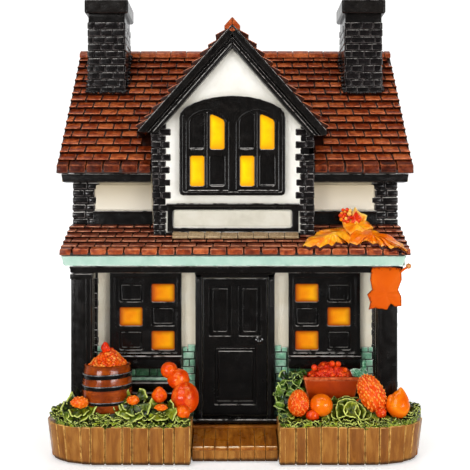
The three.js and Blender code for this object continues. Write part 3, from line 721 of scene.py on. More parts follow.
# nose-row tiles that turn down: a darker, shaded copy of the tile paint (painted shade)
TILE_EAVE_SHADED = paint("tile_eave", rgb(42, 10, 1), rgb(72, 21, 4), rgb(110, 45, 17), scale=0.5, edge=rgb(164, 88, 50), edge_amount=0.65,
                  tint=0.6, grime=rgb(24, 4, 0), grime_reach=1.4, rough=(0.26, 0.42), grain=0.12, coat=0.08, spec=0.16)
TILE_LOW = paint("tile_low", rgb(78, 25, 10), rgb(116, 46, 21), rgb(160, 83, 50), scale=0.5, edge=rgb(216, 148, 112), edge_amount=0.85,
                 tint=0.6, grime=rgb(36, 6, 1), grime_reach=1.8, side=0.95, rough=(0.26, 0.42), grain=0.12, coat=0.16, spec=0.3)
TILE_BED = paint("tile_bed", rgb(24, 5, 1), rgb(34, 8, 2), rgb(46, 13, 4), tint=0.0, rough=(0.4, 0.6), grain=0.2, coat=0.1)
# pale colour of the painted highlights on upper edges
SHINE = (0.52, 0.49, 0.46, 1)
BLACK = paint("enamel_black", (0.0025, 0.002, 0.0018, 1), (0.004, 0.0032, 0.0028, 1), (0.008, 0.0064, 0.0056, 1), scale=0.3, edge=(0.018, 0.015, 0.013, 1),
              edge_amount=0.7, tint=0.3, rough=(0.14, 0.28), grain=0.02, grain_scale=0.9, coat=0.22, coat_rough=0.06, shine=SHINE, shine_amount=0.9,
              shine_patch=(0.38, 0.5), rim=(0.5, 0.48, 0.46, 1), rim_from=0.6, rim_amount=0.85, spec=0.4)
BRICK = paint("brick_black", (0.0025, 0.002, 0.002, 1), (0.005, 0.0038, 0.0038, 1), (0.010, 0.0075, 0.0078, 1), scale=0.6, edge=(0.115, 0.098, 0.094, 1),
              edge_amount=0.7, tint=0.5, grime=(0.0015, 0.0013, 0.0013, 1), grime_reach=1.0, rough=(0.14, 0.26), grain=0.03, grain_scale=0.8, coat=0.2,
              coat_rough=0.06, shine=SHINE, shine_amount=0.8, shine_patch=(0.44, 0.56), spec=0.4)
WHITE = paint("stucco_white", rgb(222, 219, 209), rgb(230, 227, 219), rgb(235, 233, 227), scale=0.12, tint=0.0, grime=rgb(176, 164, 130),
              grime_reach=4.5, grime_amount=0.45, rough=(0.3, 0.45), grain=0.05, grain_scale=1.0, coat=0.15, coat_rough=0.15)
# darker, shaded copy of the stucco for the recessed bay panel (painted shade)
PANEL_SHADED = paint("stucco_panel", rgb(192, 187, 171), rgb(203, 198, 183), rgb(209, 205, 192), scale=0.15, tint=0.0, grime=rgb(150, 138, 104),
              grime_reach=3.0, grime_amount=0.7, rough=(0.34, 0.5), grain=0.05, grain_scale=1.0, coat=0.08, coat_rough=0.15, spec=0.3)
# cream stucco with painted shade: darker on the upper storey, with a painted shadow under the front eave
CREAM = paint("stucco_cream", rgb(240, 229, 204), rgb(246, 237, 214), rgb(249, 242, 224), scale=0.1, upper=(rgb(222, 213, 195), rgb(172, 154, 118)), tint=0.0, grime=rgb(150, 134, 92),
              grime_reach=5.0, grime_amount=0.45, rough=(0.3, 0.45), grain=0.05, grain_scale=1.0, coat=0.15, coat_rough=0.15)
MINT = paint("fascia_mint", rgb(155, 189, 174), rgb(167, 199, 183), rgb(181, 207, 193), scale=0.15, edge=rgb(228, 240, 230), edge_amount=0.9, tint=0.1,
             grime=rgb(120, 150, 130), grime_reach=1.2, grime_amount=0.7, rough=(0.28, 0.4), grain=0.08, coat=0.2)
# wood paint with a painted contact shadow along the foot of the planks
WOOD = paint("wood_brown", rgb(122, 69, 17), rgb(144, 88, 26), rgb(166, 111, 43), scale=0.35, edge=rgb(226, 178, 96), edge_amount=0.8, tint=0.45,
             grime=rgb(92, 48, 10), grime_reach=1.0, grime_amount=0.7, rough=(0.32, 0.46), grain=0.12, grain_scale=1.6, coat=0.15, streak=(1.6, 1.6, 0.3), spec=0.28, foot=1.6)
WOOD_TOP = paint("wood_tread", rgb(118, 60, 10), rgb(154, 88, 18), rgb(184, 118, 40), scale=0.35, edge=rgb(246, 214, 150), edge_amount=0.95, tint=0.35,
                 grime=rgb(84, 40, 6), grime_reach=2.0, grime_amount=0.5, rough=(0.24, 0.38), grain=0.12, grain_scale=1.6, coat=0.2, streak=(1.8, 0.3, 1.0), spec=0.3, shine=rgb(255, 236, 204), shine_amount=0.9, shine_patch=(0.42, 0.54))
GREEN_BRICK = paint("brick_green", rgb(104, 166, 134), rgb(146, 206, 172), rgb(186, 228, 202), scale=0.5, edge=rgb(230, 246, 234), edge_amount=0.85,
                    tint=0.6, grime=rgb(24, 58, 38), grime_reach=1.0, rough=(0.2, 0.34), grain=0.12, coat=0.35)
# darker, shaded copy of the green brick for the row under the window sills (painted shade)
GREEN_SHADED = paint("brick_green_shade", rgb(40, 84, 54), rgb(66, 122, 84), rgb(98, 160, 116), scale=0.5, edge=rgb(160, 206, 170), edge_amount=0.7,
                   tint=0.6, grime=rgb(8, 22, 12), grime_reach=1.0, rough=(0.18, 0.32), grain=0.12, coat=0.4)
MORTAR = paint("mortar_green", rgb(14, 34, 22), rgb(24, 52, 34), rgb(34, 70, 46), tint=0.0, rough=(0.35, 0.5), grain=0.25, coat=0.1)
TAN = paint("brick_tan", rgb(112, 86, 56), rgb(146, 118, 82), rgb(184, 158, 120), scale=1.4, edge=rgb(214, 194, 156), edge_amount=0.6, tint=0.5,
            grime=rgb(74, 46, 28), grime_reach=1.0, rough=(0.35, 0.5), grain=0.5, grain_scale=3.0, coat=0.1, streak=(2.0, 1.0, 0.6))
LEAF = paint("foliage_green", rgb(24, 34, 4), rgb(70, 90, 11), rgb(142, 156, 32), scale=0.5, tint=0.9, rim=rgb(222, 232, 120), rim_from=0.72, rim_amount=0.9,
             grime=rgb(14, 20, 2), grime_reach=2.8, grime_amount=0.95, rough=(0.16, 0.28), grain=0.12, coat=0.22, coat_rough=0.05, spec=0.25)
VINE = paint("foliage_vine", rgb(14, 30, 8), rgb(44, 74, 18), rgb(112, 144, 46), scale=0.6, tint=0.9, rim=rgb(190, 214, 120), rim_from=0.72, rim_amount=0.85,
             grime=rgb(8, 14, 4), grime_reach=2.2, grime_amount=0.9, rough=(0.16, 0.28), grain=0.12, coat=0.22, coat_rough=0.05, spec=0.25)
BLUE_LEAF = paint("foliage_blue_green", rgb(20, 58, 38), rgb(62, 122, 88), rgb(140, 192, 158), scale=1.4, tint=0.5, rim=rgb(214, 240, 222), rim_from=0.86, rim_amount=0.9,
                  grime=rgb(10, 26, 16), grime_reach=1.6, grime_amount=0.8, rough=(0.14, 0.24), grain=0.12, coat=0.4, coat_rough=0.05, spec=0.3)
CABBAGE = paint("foliage_cabbage", rgb(28, 42, 6), rgb(78, 94, 15), rgb(144, 150, 40), scale=0.5, tint=0.6, rim=rgb(222, 232, 118), rim_from=0.88, rim_amount=0.9,
                grime=rgb(12, 20, 3), grime_reach=2.6, grime_amount=0.9, rough=(0.16, 0.28), grain=0.12, coat=0.22, coat_rough=0.05, spec=0.25)
SOIL = paint("foliage_bed", rgb(26, 32, 5), rgb(66, 74, 14), rgb(132, 138, 36), scale=1.0, tint=0.0, rough=(0.25, 0.45), grain=0.6, coat=0.4,
             grime=rgb(14, 14, 3), grime_reach=1.5)
GOURD = paint("gourd_orange", rgb(208, 50, 3), rgb(226, 72, 4), rgb(238, 106, 10), scale=0.3, tint=0.7, rim=rgb(255, 190, 78), rim_from=0.3, rim_amount=0.9,
              grime=rgb(160, 18, 2), grime_reach=1.1, grime_amount=0.75, rough=(0.16, 0.26), grain=0.05, coat=0.26, coat_rough=0.05, spec=0.16)
GOURD_RED = paint("gourd_red", rgb(186, 28, 3), rgb(216, 50, 5), rgb(238, 88, 12), scale=0.4, tint=0.8, rim=rgb(250, 140, 48), rim_from=0.5, rim_amount=0.75,
                  grime=rgb(120, 10, 2), grime_reach=0.9, grime_amount=0.75, rough=(0.16, 0.26), grain=0.05, coat=0.26, coat_rough=0.05, spec=0.16)
GOURD_PALE = paint("gourd_pale", rgb(228, 88, 3), rgb(236, 110, 5), rgb(244, 140, 16), scale=0.2, tint=0.6, grime=rgb(200, 54, 4), grime_reach=1.6,
                   grime_amount=0.75, rough=(0.12, 0.2), grain=0.02, coat=0.32, coat_rough=0.04, spec=0.16)
ORANGE = paint("leaf_orange", rgb(226, 92, 2), rgb(246, 130, 6), rgb(255, 186, 34), scale=0.22, tint=0.5, rim=rgb(255, 190, 80), rim_from=0.88, rim_amount=0.6,
               grime=rgb(150, 32, 3), grime_reach=1.4, grime_amount=0.7, rough=(0.16, 0.28), grain=0.08, grain_scale=0.7, coat=0.35, coat_rough=0.05, spec=0.2)
YELLOW_LEAF = paint("leaf_yellow", rgb(236, 116, 6), rgb(246, 150, 16), rgb(252, 186, 52), scale=0.3, tint=0.6, rim=rgb(255, 222, 120), rim_from=0.72, rim_amount=0.9,
                    grime=rgb(176, 48, 4), grime_reach=1.2, grime_amount=0.7, rough=(0.14, 0.26), grain=0.08, coat=0.4, coat_rough=0.05, spec=0.2)
RED_LEAF = paint("leaf_red", rgb(190, 28, 4), rgb(218, 56, 5), rgb(240, 104, 14), scale=0.25, tint=0.8, rim=rgb(255, 196, 90), rim_from=0.8, rim_amount=0.9,
                 grime=rgb(130, 16, 3), grime_reach=1.2, grime_amount=0.6, rough=(0.16, 0.28), grain=0.08, coat=0.35, coat_rough=0.05, spec=0.2)
POST_LEAF = paint("leaf_flat_orange", rgb(196, 74, 1), rgb(206, 84, 1), rgb(214, 96, 2), scale=0.1, tint=0.1, rim=rgb(104, 30, 4), rim_from=0.95, rim_amount=0.8,
                  grime=rgb(180, 52, 3), grime_reach=1.0, grime_amount=0.5, rough=(0.45, 0.6), grain=0.04, grain_scale=1.0, coat=0.0, spec=0.08)
AMBER = paint("berry_amber", rgb(150, 84, 34), rgb(206, 136, 72), rgb(240, 190, 130), scale=0.6, tint=0.5, rough=(0.1, 0.18), grain=0.03, coat=0.6, coat_rough=0.04)
BARREL = paint("barrel_brown", rgb(98, 34, 2), rgb(130, 51, 4), rgb(162, 72, 11), scale=0.3, edge=rgb(206, 118, 60), edge_amount=0.7, tint=0.5,
               grime=rgb(56, 16, 2), grime_reach=1.5, rough=(0.16, 0.28), grain=0.04, coat=0.35, coat_rough=0.05, streak=(0.6, 0.6, 1.4), spec=0.25)
CRATE = paint("crate_terracotta", rgb(146, 44, 1), rgb(166, 56, 2), rgb(182, 68, 5), scale=0.14, edge=rgb(226, 128, 80), edge_amount=0.9, tint=0.3,
              grime=rgb(92, 22, 1), grime_reach=1.8, grime_amount=0.7, rough=(0.3, 0.44), grain=0.04, coat=0.03, spec=0.1)
LIT_HIGH = lit("pane_high", rgb(253, 222, 0), rgb(250, 176, 10), rgb(232, 158, 10), 0.92)
LIT_LOW = lit("pane_low", rgb(232, 108, 3), rgb(255, 182, 8), rgb(132, 42, 4), 0.8)
# dark maroon sheets on the tiles under the leaf spray: painted shadow
LEAF_SHADOW = paint("wash_maroon", rgb(52, 10, 4), rgb(70, 16, 6), rgb(92, 24, 10), tint=0.0, rough=(0.3, 0.5), grain=0.2, coat=0.1, spec=0.25)
PLASTIC = moulded("plastic_black", (0.014, 0.014, 0.015, 1), (0.022, 0.022, 0.023, 1))
PLASTIC_WHITE = moulded("plastic_white", (0.7, 0.68, 0.63, 1), (0.62, 0.6, 0.55, 1))
STEEL = moulded("steel_zinc", (0.62, 0.62, 0.64, 1), (0.5, 0.5, 0.53, 1), rough=(0.22, 0.36), grain=0.3, grain_scale=1.0, metal=1.0, brushed=(1.0, 14.0, 1.0))
CELL = moulded("cell_case", (0.05, 0.055, 0.065, 1), (0.08, 0.085, 0.095, 1), rough=(0.28, 0.4), grain=0.1, grain_scale=2.0, coat=0.3)
LEAD_RED = moulded("lead_red", (0.45, 0.012, 0.01, 1), (0.35, 0.008, 0.008, 1), rough=(0.35, 0.5), grain=0.1)
LEAD_BLACK = moulded("lead_black", (0.01, 0.01, 0.01, 1), (0.02, 0.02, 0.02, 1), rough=(0.35, 0.5), grain=0.1)
PAD = moulded("pad_dark", (0.03, 0.028, 0.026, 1), (0.05, 0.047, 0.043, 1), rough=(0.8, 0.95), grain=0.6, grain_scale=3.0)
LENS = moulded("led_lens", (1.0, 0.9, 0.7, 1), (1.0, 0.8, 0.5, 1), rough=(0.1, 0.2), grain=0.05, coat=0.3)
LENS.node_tree.nodes["Principled BSDF"].inputs["Emission Color"].default_value = (1.0, 0.72, 0.36, 1.0)
LENS.node_tree.nodes["Principled BSDF"].inputs["Emission Strength"].default_value = 3.0


# ------------------------------------------------------------------ main roof
def lowered(top_of, depth):
    """Lowers the casting's upper skin, so that the tiles bed into it."""
    def move(p):
        if abs(p.z - top_of(p)) < 0.35:
            return Vector((p.x, p.y, p.z - depth))
        return p
    return move


def roof_z(y):
    return RIDGE_TOP - abs(y - RIDGE_Y) * ROOF_SLOPE


RUN = math.hypot(RIDGE_Y - EAVE_Y, RIDGE_TOP - EAVE_TOP)
UP = Vector((0, (RIDGE_Y - EAVE_Y) / RUN, (RIDGE_TOP - EAVE_TOP) / RUN))
FRONT_SLOPE = face_plane((0, EAVE_Y, EAVE_TOP), (1, 0, 0), UP)
REAR_SLOPE = face_plane((0, 2 * RIDGE_Y - EAVE_Y, EAVE_TOP), (-1, 0, 0), (0, -UP.y, UP.z))
COURSES = 16
FIRST = 1.2                      # the nose row takes the lowest stretch of the slope
TOP_V = RUN - 1.9


def around_gable(side):
    """Cuts a tile where the gable bay or its roof passes through the front slope."""
    def clip(poly, i, va, vb):
        z0 = EAVE_TOP + va * UP.z
        s = side
        if z0 < 115.4:
            return cut(poly, -s, 0.0, -(s * GX + 30.7))
        if z0 < 119.6:
            return cut(poly, -s, 0.0, -(s * GX + 35.2))
        # outside the valley: z >= GABLE_TOP - slope * distance from the gable's middle, less a small lap
        return cut(poly, -s * GABLE_SLOPE, -UP.z, EAVE_TOP - GABLE_TOP + 0.8 - s * GX * GABLE_SLOPE)
    return clip


def nose_row(S, place, rnd, u0, u1, pitch, zdrop, mat=2, depth=1.5, phase=0.3, gap_at=None):
    """Eave tiles with a rounded upright nose; place is the slope's plane and zdrop how far the nose hangs below its edge."""
    u = u0 - pitch * phase
    while u < u1 - 0.5:
        a, c = max(u0, u + 0.2), min(u1, u + pitch - 0.2)
        u += pitch * rnd.uniform(0.97, 1.03)
        if c - a < 1.2:
            continue
        parts = [(a, c)]
        if gap_at:
            g0, g1 = gap_at
            parts = [(x, y) for x, y in ((a, min(c, g0)), (max(a, g1), c)) if y - x > 1.0] if (a < g1 and c > g0) else [(a, c)]
        for a2, c2 in parts:
            t = rnd.random()
            lift = rnd.uniform(-0.05, 0.08)
            out = rnd.uniform(-0.08, 0.1)
            fall = rnd.uniform(-0.08, 0.12)
            tl, tr = place(a2, 4.4, lift - 1.0), place(c2, 4.4, lift - 1.0)
            fl, fr = place(a2, 0.0, lift), place(c2, 0.0, lift)
            n = (place(0, 0, 1) - place(0, 0, 0))
            ahead = -1.0 if n.y < 0 else 1.0
            fl.y += ahead * (0.15 + out)
            fr.y += ahead * (0.15 + out)
            bl, br = fl.copy(), fr.copy()
            bl.z -= zdrop - fall
            br.z -= zdrop - fall
            il, ir = bl.copy(), br.copy()
            il.y -= ahead * 3.2
            ir.y -= ahead * 3.2
            # x: across, y: front to back, z: low to high
            S.hexa([bl, br, il, ir, fl, fr, tl, tr], 0.42, mat, t, 1.0)


rnd = random.Random(11)
roof = Shape()
roof.cad("main_roof_front", lowered(lambda p: roof_z(p.y), 2.1), 1)
TILE_ARGS = dict(gap=(0.5, 0.42), lo=-1.9, lift=0.1, drop=1.55, lap=0.9, b=0.3, wob=0.1)
roof_v0 = 2.9
rows = COURSES - 1
blocks(roof, FRONT_SLOPE, -ROOF_X, GX, roof_v0, TOP_V, rows, 6.5, rnd, slant=0.8, clip=around_gable(-1), **TILE_ARGS)
rnd = random.Random(12)
blocks(roof, FRONT_SLOPE, GX, ROOF_X, roof_v0, TOP_V, rows, 6.5, rnd, slant=0.8, clip=around_gable(1), phase=0.35, **TILE_ARGS)
nose_row(roof, FRONT_SLOPE, rnd, -ROOF_X, ROOF_X, 6.5, 3.0, gap_at=(GX - 30.7, GX + 30.7))
roof.build("main_roof_front_tiles", [TILE, TILE_BED, TILE_EAVE_SHADED], "tile_rust", ["main_roof_front"])

rnd = random.Random(13)
roof = Shape()
roof.cad("main_roof_rear", lowered(lambda p: roof_z(p.y), 2.1), 1)
blocks(roof, REAR_SLOPE, -ROOF_X, ROOF_X, roof_v0, TOP_V, rows, 6.5, rnd, slant=0.8, **TILE_ARGS)
nose_row(roof, REAR_SLOPE, rnd, -ROOF_X, ROOF_X, 6.5, 3.0)
# ridge blocks, saddled over both slopes
u = -ROOF_X
while u < ROOF_X - 1:
    w = 6.5 * rnd.uniform(0.96, 1.05)
    a, c = u + 0.06, min(ROOF_X, u + w - 0.06)
    if ROOF_X - c < 2.5:
        c = ROOF_X
    u = c + 0.06
    lift = rnd.uniform(-0.1, 0.1)
    t = 0.75 + rnd.uniform(-0.25, 0.25)
    for s in (-1, 1):
        low_y, low_z = RIDGE_Y + s * 2.2, RIDGE_TOP - 2.2 * ROOF_SLOPE
        P = []
        for x in (a, c):
            P.append(x)
        base = [(RIDGE_Y + s * 2.5, low_z - 0.6), (RIDGE_Y, low_z - 0.6), (RIDGE_Y + s * 2.3, low_z + 1.2), (RIDGE_Y, RIDGE_TOP + 0.35 + lift)]
        cs = []
        for z in (0, 1):
            for y in (0, 1):
                for x in (0, 1):
                    yy, zz = base[z * 2 + y]
                    cs.append((P[x], yy, zz))
        roof.hexa(cs, 0.22, 0, t, 1.0)
roof.build("main_roof_rear_tiles", [TILE, TILE_BED, TILE_EAVE_SHADED], "tile_rust", ["main_roof_rear"])

# ------------------------------------------------------------------ gable roof
GRUN = math.hypot(GABLE_HALF, GABLE_HALF * GABLE_SLOPE)
GLOW = GABLE_TOP - GABLE_HALF * GABLE_SLOPE
gup = Vector((GABLE_HALF / GRUN, 0, GABLE_HALF * GABLE_SLOPE / GRUN))
GLEFT = face_plane((GX - GABLE_HALF, 9.0, GLOW), (0, -1, 0), gup)
GRIGHT = face_plane((GX + GABLE_HALF, GABLE_Y, GLOW), (0, 1, 0), (-gup.x, 0, gup.z))


def gable_z(p):
    return GABLE_TOP - abs(p.x - GX) * GABLE_SLOPE


def above_slope(left):
    """Keeps the part of a gable tile that stands clear of the main front slope."""
    def clip(poly, i, va, vb):
        # y of a point is 9 - u on the left and GABLE_Y + u on the right; its height is GLOW + v * gup.z
        if left:
            # GLOW + v*gz >= roof_z(9 - u) - 1  with y < ridge
            return cut(poly, -ROOF_SLOPE, -gup.z, GLOW - (RIDGE_TOP + (9.0 - RIDGE_Y) * ROOF_SLOPE) + 1.6)
        return cut(poly, ROOF_SLOPE, -gup.z, GLOW - (RIDGE_TOP + (GABLE_Y - RIDGE_Y) * ROOF_SLOPE) + 1.6)
    return clip


rnd = random.Random(21)
g = Shape()
def gable_bed(p):
    q = lowered(gable_z, 2.2)(p)
    return Vector((q.x, q.y, max(q.z, 118.9))) if abs(q.x - GX) > 33.0 else q


g.cad("gable_roof", gable_bed, 1)
gargs = dict(gap=(0.42, 0.3), lo=-1.9, lift=0.75, drop=1.9, lap=0.9, b=0.3, wob=0.09)
blocks(g, GLEFT, 0.0, 50.0, 0.0, 49.13, 11, 6.5, rnd, clip=above_slope(True), **gargs)
blocks(g, GRIGHT, 0.0, 50.0, 0.0, 49.13, 11, 6.5, rnd, clip=above_slope(False), **gargs)
# ridge of the gable: saddle tiles
y = GABLE_Y - 0.5
k = 0
while y < 7.0:
    y1 = min(8.5, y + 6.4)
    t = 0.6 + rnd.uniform(-0.25, 0.3)
    for s in (-1, 1):
        base = [(GX + s * 2.7, GABLE_TOP - 3.1 * GABLE_SLOPE - 0.2), (GX, GABLE_TOP - 3.1 * GABLE_SLOPE - 1.6),
                (GX + s * 3.1, GABLE_TOP - 3.1 * GABLE_SLOPE + 0.6), (GX, GABLE_TOP + 0.6 + rnd.uniform(-0.06, 0.06))]
        cs = []
        for z in (0, 1):
            for xx in (0, 1):
                for yy in (y, y1 - 0.3):
                    x_, z_ = base[z * 2 + xx]
                    cs.append((x_, yy, z_))
        g.hexa(cs, 0.26, 0, t, 1.0)
    y = y1
    k += 1
g.build("gable_roof_tiles", [TILE, TILE_BED], "tile_rust", ["gable_roof"])

# ------------------------------------------------------------------ gable boards
BT, BH, BV = GABLE_TOP - 4.0, 33.3, 6.5
board = Shape()
for s in (-1, 1):
    def pt(d, off):
        return (GX + s * d, BT - d * GABLE_SLOPE - off)

    def strip(d0, d1, off0, off1, back, front, b):
        poly = [pt(d1, off1), pt(d0, off1), pt(d0, off0), pt(d1, off0)]
        if area(poly) < 0:
            poly.reverse()
        poly = cut(poly, 0.0, -1.0, -(119.2 if s < 0 else 118.0))
        board.slab(poly, FRONT(0), -back, -front, b)

    strip(0.0, BH, 0.0, BV, -37.35, -39.7, 0.3)
    strip(0.0, BH + 1.4, -1.9, 1.9, -39.5, -41.35, 0.3)      # upper bead
    strip(0.0, BH + 1.4, -1.9, -0.6, -39.5, -41.6, 0.25)
    strip(0.0, BH + 0.1, 2.7, 3.3, -39.6, -40.1, 0.16)
    strip(0.0, BH, 4.3, 6.5, -39.5, -40.5, 0.35)            # lower bead
board.build("gable_bargeboard_beads", [BLACK], "enamel_black", ["gable_bargeboard"])

# ------------------------------------------------------------------ chimneys
for s, name in ((-1, "chimney_left"), (1, "chimney_right")):
    rnd = random.Random(31 + s)
    cx = s * CHIMNEY_X
    c = Shape()

    def shrink(p, cx=cx):
        if p.z < 171.95 and abs(p.x - cx) > 7.5:
            return Vector((cx + math.copysign(7.3, p.x - cx), min(8.15, max(-7.55, p.y)), p.z - (0.6 if p.z < 170 else 0)))
        return p
    # shaft, then bricks on its four faces, then the cap
    c.box(cx - 7.3, cx + 7.3, -7.55, 8.15, 137.0, 172.2, 0.3, 1, 0.3)
    zlo, rows_c = 139.2, 10
    zhi = 168.6
    courses = rows_c
    dz = (zhi - zlo) / courses
    for i in range(courses):
        z0, z1 = zlo + i * dz + 0.16, zlo + (i + 1) * dz - 0.16
        odd = i % 2
        for face in range(4):
            if face in (0, 2):
                half, place = 7.75, (FRONT(-8.0) if face == 0 else BACK(8.6))
                lo_u, hi_u = (cx - half, cx + half) if face == 0 else (-cx - half, -cx + half)
            else:
                place = RIGHT(cx + 7.75) if face == 1 else LEFT(cx - 7.75)
                lo_u, hi_u = (-8.0, 8.6) if face == 1 else (-8.6, 8.0)
            # corner bricks alternate long and short round the corner
            u = lo_u + (0.0 if (odd + face) % 2 else 0.45)
            stop = hi_u - (0.45 if (odd + face) % 2 else 0.0)
            first = True
            while u < stop - 0.8:
                w = (2.6 if first and odd else 5.0) * rnd.uniform(0.9, 1.1)
                first = False
                e = min(stop, u + w)
                if stop - e < 1.6:
                    e = stop
                poly = [(u + 0.05, z0 + rnd.uniform(-0.07, 0.07)), (e - 0.05, z0 + rnd.uniform(-0.07, 0.07)),
                        (e - 0.05, z1 + rnd.uniform(-0.07, 0.07)), (u + 0.05, z1 + rnd.uniform(-0.07, 0.07))]
                c.slab(poly, place, -1.0, rnd.uniform(0.0, 0.2), 0.24, 0, rnd.random())
                u = e
    # corbel under the cap, then the cap as four walls round the flue
    c.box(cx - 7.5, cx + 7.5, -7.75, 8.35, 168.2, 172.3, 0.3, 1, 0.4)
    c.plate(rrect(cx - 9, cx + 9, -9.2, 9.8, 1.1, 3), [rrect(cx - 3.4, cx + 3.4, -4.0, 4.6, 0.6, 2)], TOP(0), 172.0, 178.0, 0.9, 3, 1)
    c.box(cx - 4.0, cx + 4.0, -4.6, 5.2, 172.4, 176.0, 0.2, 2, 0.1)
    # rough mortar fillet where the shaft meets the tiles
    for k in range(46):
        q = k / 46.0 * 4
        side, f = int(q), q - int(q)
        if side == 0:
            x_, y_ = cx - 7.9 + 15.8 * f, -8.3
        elif side == 1:
            x_, y_ = cx + 8.0, -8.3 + 17.0 * f
        elif side == 2:
            x_, y_ = cx + 7.9 - 15.8 * f, 8.8
        else:
            x_, y_ = cx - 8.0, 8.8 - 17.0 * f
        c.ball((x_ + rnd.uniform(-0.2, 0.2), y_ + rnd.uniform(-0.2, 0.2), roof_z(y_) - 0.1 + rnd.uniform(-0.2, 0.3)), rnd.uniform(0.5, 0.95), 2,
               rnd.random(), 2, (1.3, 1.1, 0.9))
    c.build(name + "_bricks", [BRICK, BLACK, BRICK], "brick_black", [name])

# ------------------------------------------------------------------ porch roof
PRUN = math.hypot(PORCH_WALL_Y - PORCH_Y, PORCH_WALL_Z - PORCH_TOP)
pup = Vector((0, (PORCH_WALL_Y - PORCH_Y) / PRUN, (PORCH_WALL_Z - PORCH_TOP) / PRUN))
PORCH_SLOPE_PLANE = face_plane((0, PORCH_Y, PORCH_TOP), (1, 0, 0), pup)


def porch_z(p):
    return PORCH_TOP + (p.y - PORCH_Y) * PORCH_SLOPE


rnd = random.Random(41)
p_ = Shape()
p_.cad("porch_roof", lowered(porch_z, 1.5), 1)
blocks(p_, PORCH_SLOPE_PLANE, -PORCH_X, PORCH_X, 2.2, PRUN - 0.2, 5, 6.2, rnd, gap=(0.42, 0.3), lo=-1.4, lift=0.05, drop=1.05, lap=0.8, b=0.3, wob=0.09, slant=0.3)
nose_row(p_, PORCH_SLOPE_PLANE, rnd, -PORCH_X, PORCH_X, 6.2, 2.3, 2)
p_.build("porch_roof_tiles", [TILE_LOW, TILE_BED, TILE], "tile_rust", ["porch_roof"])

# ------------------------------------------------------------------ porch fascia, beam and posts
f = Shape()
f.hexa([(-62.0, -46.7, 70.1), (60.6, -46.7, 70.1), (-62.0, -44.9, 70.1), (60.6, -44.9, 70.1),
        (-63.1, -47.1, 73.85), (62.2, -47.1, 73.85), (-63.1, -44.9, 73.85), (62.2, -44.9, 73.85)], 0.45, 0, 0.5)
for s in (-1, 1):
    a, b = (60.2, 61.9)
    poly = [(-44.9, 70.1), (-28.3, 70.1), (-28.3, 83.2), (-44.9, 74.6)]
    if s > 0:
        f.slab(poly, RIGHT(0), a, b, 0.3, 0, 0.5)
    else:
        f.slab([(-28.3 * -1, 70.1), (44.9, 70.1), (44.9, 74.6), (28.3, 83.2)], LEFT(0), a, b, 0.3, 0, 0.5)
f.build("porch_fascia_board", [MINT], "fascia_mint", ["porch_fascia"])

bm_ = Shape()
bm_.box(-60.1, 61.0, -44.5, -36.5, 67.5, 69.8, 0.3)
bm_.box(-60.3, 61.2, -44.9, -44.0, 68.9, 69.9, 0.2)
for s in (-1, 1):
    x0, x1 = sorted((s * 54.0, s * 60.1))
    bm_.box(x0, x1, -37.5, -28.3, 67.5, 69.8, 0.3)
bm_.build("porch_beam_board", [BLACK], "enamel_black", ["porch_beam"])

for name, (x0, x1) in (("porch_post_left", (-60.3, -52.3)), ("porch_post_right", (51.7, 59.7))):
    q = Shape()
    q.box(x0 + 0.25, x1 - 0.25, -43.3, -36.7, 10.7, 67.2, 0.5)
    for zz, h in ((10.7, 3.0), (65.0, 2.2)):
        q.box(x0 - 0.1, x1 + 0.1, -43.6, -36.4, zz, zz + h, 0.35)
    # two raised fillets on each face
    for d in (1.5, 5.9):
        q.box(x0 + d - 0.3, x0 + d + 0.3, -43.55, -42.9, 13.6, 65.2, 0.12)
        q.box(x0 + d - 0.3, x0 + d + 0.3, -37.1, -36.45, 13.6, 65.2, 0.12)
    for yy in (-41.7, -38.2):
        q.box(x0 + 0.02, x0 + 0.7, yy - 0.3, yy + 0.3, 13.6, 65.2, 0.12)
        q.box(x1 - 0.7, x1 - 0.02, yy - 0.3, yy + 0.3, 13.6, 65.2, 0.12)
    q.build(name + "_turned", [BLACK], "enamel_black", [name])

# ------------------------------------------------------------------ house trim: corner stones, plinth, bands, mouldings
t = Shape()
rnd = random.Random(51)


def corner(S, X, Y, sx, sy, z0, z1, pitch, wide, narrow, proud, rnd, teeth, mat=0, deep=None):
    """Toothed corner stones. X, Y is the wall's corner and sx, sy point outwards."""
    n = max(1, round((z1 - z0) / pitch))
    dz = (z1 - z0) / n
    for i in range(n):
        a, b = z0 + i * dz, z0 + (i + 1) * dz
        k = n - 1 - i
        long_x = teeth(k)
        wx = (wide if long_x else narrow) + rnd.uniform(-0.25, 0.25)
        wy = (deep or wide) * (0.82 if long_x else 1.0) + rnd.uniform(-0.25, 0.25)
        p = proud + rnd.uniform(-0.12, 0.16)
        # one stone round the corner, split where the joint shows
        xs = sorted((X + sx * p, X - sx * wx))
        ys = sorted((Y + sy * p, Y - sy * wy))
        split = rnd.uniform(0.42, 0.62)
        fx = X - sx * wx * split
        j = lambda: rnd.uniform(-0.1, 0.1)
        for q0, q1 in (sorted((X + sx * p, fx)), sorted((fx - sx * 0.25, X - sx * wx))):
            yy0, yy1 = sorted((Y + sy * (p + j() * 0.8), Y - sy * 1.2))
            S.box(q0, q1, yy0, yy1, a + 0.1 + j() * 0.5, b - 0.1 + j() * 0.5, 0.42, mat, rnd.random(), 1.0, 0.05, rnd)
        fy = Y - sy * wy * split
        for q0, q1 in (sorted((Y - sy * 1.0, fy)), sorted((fy - sy * 0.25, Y - sy * wy))):
            xx0, xx1 = sorted((X + sx * (p + j() * 0.8), X - sx * 1.2))
            S.box(xx0, xx1, q0, q1, a + 0.1 + j() * 0.5, b - 0.1 + j() * 0.5, 0.42, mat, rnd.random(), 1.0, 0.05, rnd)


